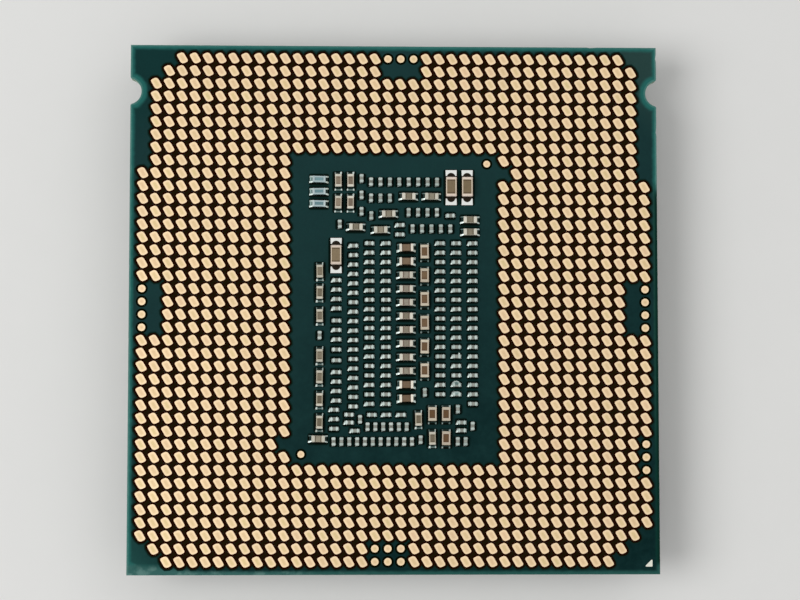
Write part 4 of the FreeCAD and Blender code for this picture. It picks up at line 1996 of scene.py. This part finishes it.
@dataclass
class Laminate:
    """The laminate with its routed edge, key notches and corner marks."""

    nodes: dict[str, bpy.types.Object]
    notch_radius: float = 0.93 * MM
    notch_outset: float = 0.15 * MM
    notch_from_end: float = 3.32 * MM
    mouth_radius: float = 0.15 * MM
    edge_break: float = 0.015 * MM
    edge_step: float = 0.25 * MM
    roughness: float = 0.012 * MM
    nick_depth: float = 0.06 * MM
    nick_reach: float = 0.3 * MM
    nicks: tuple[tuple[float, float], ...] = (
        (14.1 * MM, 18.75 * MM),
        (18.75 * MM, 18.0 * MM),
        (18.75 * MM, 12.7 * MM),
        (18.2 * MM, 16.3 * MM),
    )
    roughness_size: float = 0.35 * MM
    mark_rounding: float = 0.05 * MM
    mark_arc: int = 5
    mouth_steps: int = 5
    notch_steps: int = 12

    @property
    def half_side(self) -> float:
        """Half of the laminate's side."""
        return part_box("laminate")[1].x

    def right_edge(self, inset: float) -> Outline:
        """Points up the right edge, round the notch and up to the corner.

        Args:
            inset: How far inside the true outline the points lie.

        Returns:
            The points, from the lower right corner up.
        """
        half, reach = self.half_side, self.notch_radius + self.mouth_radius
        notch = Vector((half + self.notch_outset, half - self.notch_from_end))
        lean = math.acos((self.notch_outset + self.mouth_radius) / reach)
        x, mouth = half - inset, self.mouth_radius - inset
        turns = [lean * k / self.mouth_steps for k in range(self.mouth_steps + 1)]
        points = []
        for side in (-1, 1):
            hub = Vector((half - self.mouth_radius, notch.y + side * reach * math.sin(lean)))
            arc = [hub + mouth * Vector((math.cos(a), -side * math.sin(a))) for a in turns]
            if side < 0:
                count = round((hub.y + half) / self.edge_step)
                rise = hub.y + half - inset
                points += [Vector((x, inset - half + rise * k / count)) for k in range(count)]
                points += arc
                swing = [math.pi + lean * (1 - k / self.notch_steps) for k in range(1, 2 * self.notch_steps)]
                bay = self.notch_radius + inset
                points += [notch + bay * Vector((math.cos(a), math.sin(a))) for a in swing]
            else:
                points += arc[::-1]
                count = round((half - hub.y) / self.edge_step)
                points += [Vector((x, hub.y + (x - hub.y) * k / count)) for k in range(1, count)]
        return points

    def outline(self, inset: float) -> Outline:
        """The whole outline.

        Args:
            inset: How far inside the true outline the points lie.

        Returns:
            The points, anticlockwise from the lower right corner.
        """
        half, right = self.half_side - inset, self.right_edge(inset)
        count = round(2 * half / self.edge_step)
        top = [Vector((half - 2 * half * k / count, half)) for k in range(count + 1)]
        left = [Vector((-p.x, p.y)) for p in reversed(right)]
        low = [Vector((-half + 2 * half * k / count, -half)) for k in range(count)]
        return right + top + left[:-1] + low

    def worn(self, outline: Outline) -> Outline:
        """Give an outline the small roughness and nicks of a routed edge.

        Args:
            outline: The even outline.

        Returns:
            The worn outline, which is never outside the even one.
        """
        worn = []
        for point in outline:
            rough = noise.noise(Vector((point.x, point.y, 0)) / self.roughness_size)
            depth = self.roughness * (1 + rough) / 2
            for place in self.nicks:
                gap = (point - Vector(place)).length
                depth += self.nick_depth * smooth(gap, self.nick_reach, 0)
            worn.append(point - point.normalized() * depth)
        return worn

    def finish(self) -> MaskFinish:
        """Describe the mask's finish.

        Returns:
            The finish, with the laminate's own sizes.
        """
        low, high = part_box("laminate")
        return MaskFinish(
            "solder_mask", 0.3, 0.0, 0.04, 1.2 * MM, 0.16, 0.004 * MM, 0.25,
            half_side=self.half_side,
            notch_x=self.half_side + self.notch_outset,
            notch_y=self.half_side - self.notch_from_end,
            notch_radius=self.notch_radius,
            top=high.z,
            bottom=low.z,
        )

    def mark(self, node: str, finish: Finish, slot: str) -> None:
        """Build a corner triangle with rounded tips.

        Args:
            node: The CAD node that it stands for.
            finish: Its finish.
            slot: The material slot's name.
        """
        low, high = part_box(node)
        corners = [Vector((low.x, low.y)), Vector((high.x, low.y)), Vector((high.x, high.y))]
        outline = rounded(corners, [self.mark_rounding] * 3, self.mark_arc)
        rings = [Ring(outline, level) for level in (0.0, high.z - low.z)]
        mesh = Sketch().stack(rings).mesh(node)
        mesh.transform(Matrix.Translation((0, 0, low.z)))
        mesh.materials.append(finish.material())
        deliver(stand(f"{node}_rounded", mesh), slot, node)

    def build(self) -> None:
        """Build the laminate and its two corner marks."""
        low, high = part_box("laminate")
        levels = (
            (self.edge_break, low.z),
            (0.0, low.z + self.edge_break),
            (0.0, high.z - self.edge_break),
            (self.edge_break, high.z),
        )
        rings = [Ring(self.worn(self.outline(inset)), z) for inset, z in levels]
        mesh = Sketch().stack(rings).mesh("laminate")
        mesh.materials.append(self.finish().material())
        deliver(stand("laminate_board", mesh), "laminate_green", "laminate")
        ink = PlainFinish("pale_ink", 0.6, 0.0, 0.3, 0.2 * MM, 0.1, 0.003 * MM, 0.4, srgb(228, 228, 214))
        plate = PlainFinish("mark_plating", 0.35, 1.0, 0.5, 0.2 * MM, 0.08, base=srgb(226, 200, 150))
        self.mark("first_contact_mark", ink, "pale_mark")
        self.mark("lid_side_mark", plate, "gold_land")


@dataclass
class Lid:
    """The lid and what it hides: sealant, thermal interface, die and bump layer."""

    nodes: dict[str, bpy.types.Object]
    edge_radius: float = 0.09 * MM
    segments: int = 3
    flat_angle: float = math.radians(1)
    edge_angle: float = math.radians(30)
    shade_angle: float = math.radians(20)

    def shell(self) -> bpy.types.Object:
        """Build the stamped lid with softened edges.

        Returns:
            The lid, with its bevel applied.
        """
        body = bmesh.new()
        body.from_mesh(self.nodes["heat_spreader"].data)
        bmesh.ops.remove_doubles(body, verts=body.verts, dist=MERGE_DISTANCE)
        bmesh.ops.dissolve_limit(body, angle_limit=self.flat_angle, verts=body.verts, edges=body.edges)
        mesh = bpy.data.meshes.new("lid_shell")
        body.to_mesh(mesh)
        body.free()
        rough = stand("lid_rough", mesh)
        bevel = rough.modifiers.new("edges", "BEVEL")
        bevel.width = self.edge_radius
        bevel.segments = self.segments
        bevel.limit_method = "ANGLE"
        bevel.angle_limit = self.edge_angle
        depsgraph = bpy.context.evaluated_depsgraph_get()
        soft = bpy.data.meshes.new_from_object(rough.evaluated_get(depsgraph), depsgraph=depsgraph)
        bpy.data.objects.remove(rough)
        soften(soft, self.shade_angle)
        soft.materials.clear()
        soft.materials.append(NickelFinish("nickel_plating", 0.3, 1.0, grain_size=1.5 * MM).material())
        return stand("nickel_lid", soft)

    def dress(self, node: str, finish: Finish) -> None:
        """Give a CAD node its own material.

        Args:
            node: The node's name.
            finish: What it is made of.
        """
        material = finish.material()
        for slot in self.nodes[node].material_slots:
            slot.material = material
        log.info("%s: dressed", node)

    def build(self) -> None:
        """Build the lid and dress the pieces under it."""
        deliver(self.shell(), "nickel_plate", "heat_spreader")
        for node, finish in (
            ("lid_sealant", PlainFinish("sealant", 0.7, 0.0, 0.3, 0.4 * MM, 0.3, base=srgb(24, 24, 25))),
            (
                "thermal_interface",
                PlainFinish("interface", 0.6, 0.3, 0.4, 0.5 * MM, 0.2, base=srgb(150, 150, 150)),
            ),
            ("silicon_die", PlainFinish("silicon", 0.2, 0.0, 0.6, 2 * MM, 0.1, base=srgb(60, 64, 76))),
            ("bump_layer", PlainFinish("underfill", 0.6, 0.0, 0.3, 0.3 * MM, 0.3, base=srgb(44, 40, 36))),
        ):
            self.dress(node, finish)


@dataclass
class Studio:
    """Floor, light and camera."""

    lens: float = 93.185
    sensor: float = 36.0
    camera_offset: Vector = field(default_factory=lambda: Vector((-4.2095, -9.4006, 146.2192)) * MM)
    look: Vector = field(default_factory=lambda: Vector((0.0314309, 0.06814051, -0.99718051)))
    up: Vector = field(default_factory=lambda: Vector((-0.00202141, 0.99767573, 0.06811064)))
    nearest: float = 0.005
    floor_size: float = 1.2
    ambient: float = 0.56
    lamp_size: float = 0.3

    def camera(self) -> None:
        """A camera where the photograph was taken from."""
        data = bpy.data.cameras.new("camera")
        data.lens = self.lens
        data.sensor_width = self.sensor
        data.clip_start = self.nearest
        camera = stand("camera", data)
        back = -self.look.normalized()
        right = self.up.cross(back).normalized()
        turned = Matrix((right, back.cross(right), back)).transposed()
        lands = Vector((0, 0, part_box("round_lands")[1].z))
        camera.matrix_world = Matrix.Translation(lands + self.camera_offset) @ turned.to_4x4()
        bpy.context.scene.camera = camera

    def floor(self) -> None:
        """A pale plain floor under the lid."""
        half = self.floor_size / 2
        corners = [(-half, -half, 0), (half, -half, 0), (half, half, 0), (-half, half, 0)]
        mesh = bpy.data.meshes.new("floor")
        mesh.from_pydata(corners, [], [(0, 1, 2, 3)])
        finish = PlainFinish("pale_floor", 0.8, 0.0, 0.2, 20 * MM, 0.02, base=srgb(226, 226, 224))
        mesh.materials.append(finish.material())
        stand("floor", mesh)

    def lamp(self, name: str, place: Vector, watts: float) -> None:
        """Set up a soft lamp that looks at the origin.

        Args:
            name: The lamp's name.
            place: Where it stands.
            watts: How strong it is.
        """
        data = bpy.data.lights.new(name, "AREA")
        data.shape = "DISK"
        data.size = self.lamp_size
        data.energy = watts
        lamp = stand(name, data)
        lamp.matrix_world = Matrix.Translation(place) @ place.to_track_quat("Z", "Y").to_matrix().to_4x4()
        lamp.visible_camera = False

    def world(self) -> None:
        """Even pale surroundings, white to the camera and to reflections."""
        world = bpy.data.worlds.new("surroundings")
        world.use_nodes = True
        bpy.context.scene.world = world
        graph = Graph(world.node_tree)
        path = graph.add("ShaderNodeLightPath")
        seen = graph.math("MAXIMUM", path.outputs["Is Camera Ray"], path.outputs["Is Glossy Ray"])
        seen = graph.math("MAXIMUM", seen, path.outputs["Is Transmission Ray"])
        background = world.node_tree.nodes["Background"]
        background.inputs["Color"].default_value = (1, 1, 1, 1)
        graph.feed(background.inputs["Strength"], graph.scale(seen, self.ambient, 1.0))

    def build(self) -> None:
        """Set up the whole studio."""
        self.camera()
        self.floor()
        self.world()
        self.lamp("key", Vector((-0.29, -0.03, 0.36)), watts=1.0)
        self.lamp("fill", Vector((0.24, 0.2, 0.3)), watts=0.12)
        bpy.context.scene.view_settings.view_transform = "Standard"


def main() -> None:
    """Build every sub-assembly in order."""
    logging.basicConfig(level=logging.INFO, format="%(message)s")
    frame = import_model()
    nodes = frame["nodes"]
    Laminate(nodes).build()
    Lands(nodes).build()
    Chips(nodes).build()
    Lid(nodes).build()
    Studio().build()


if __name__ == "__main__":
    main()
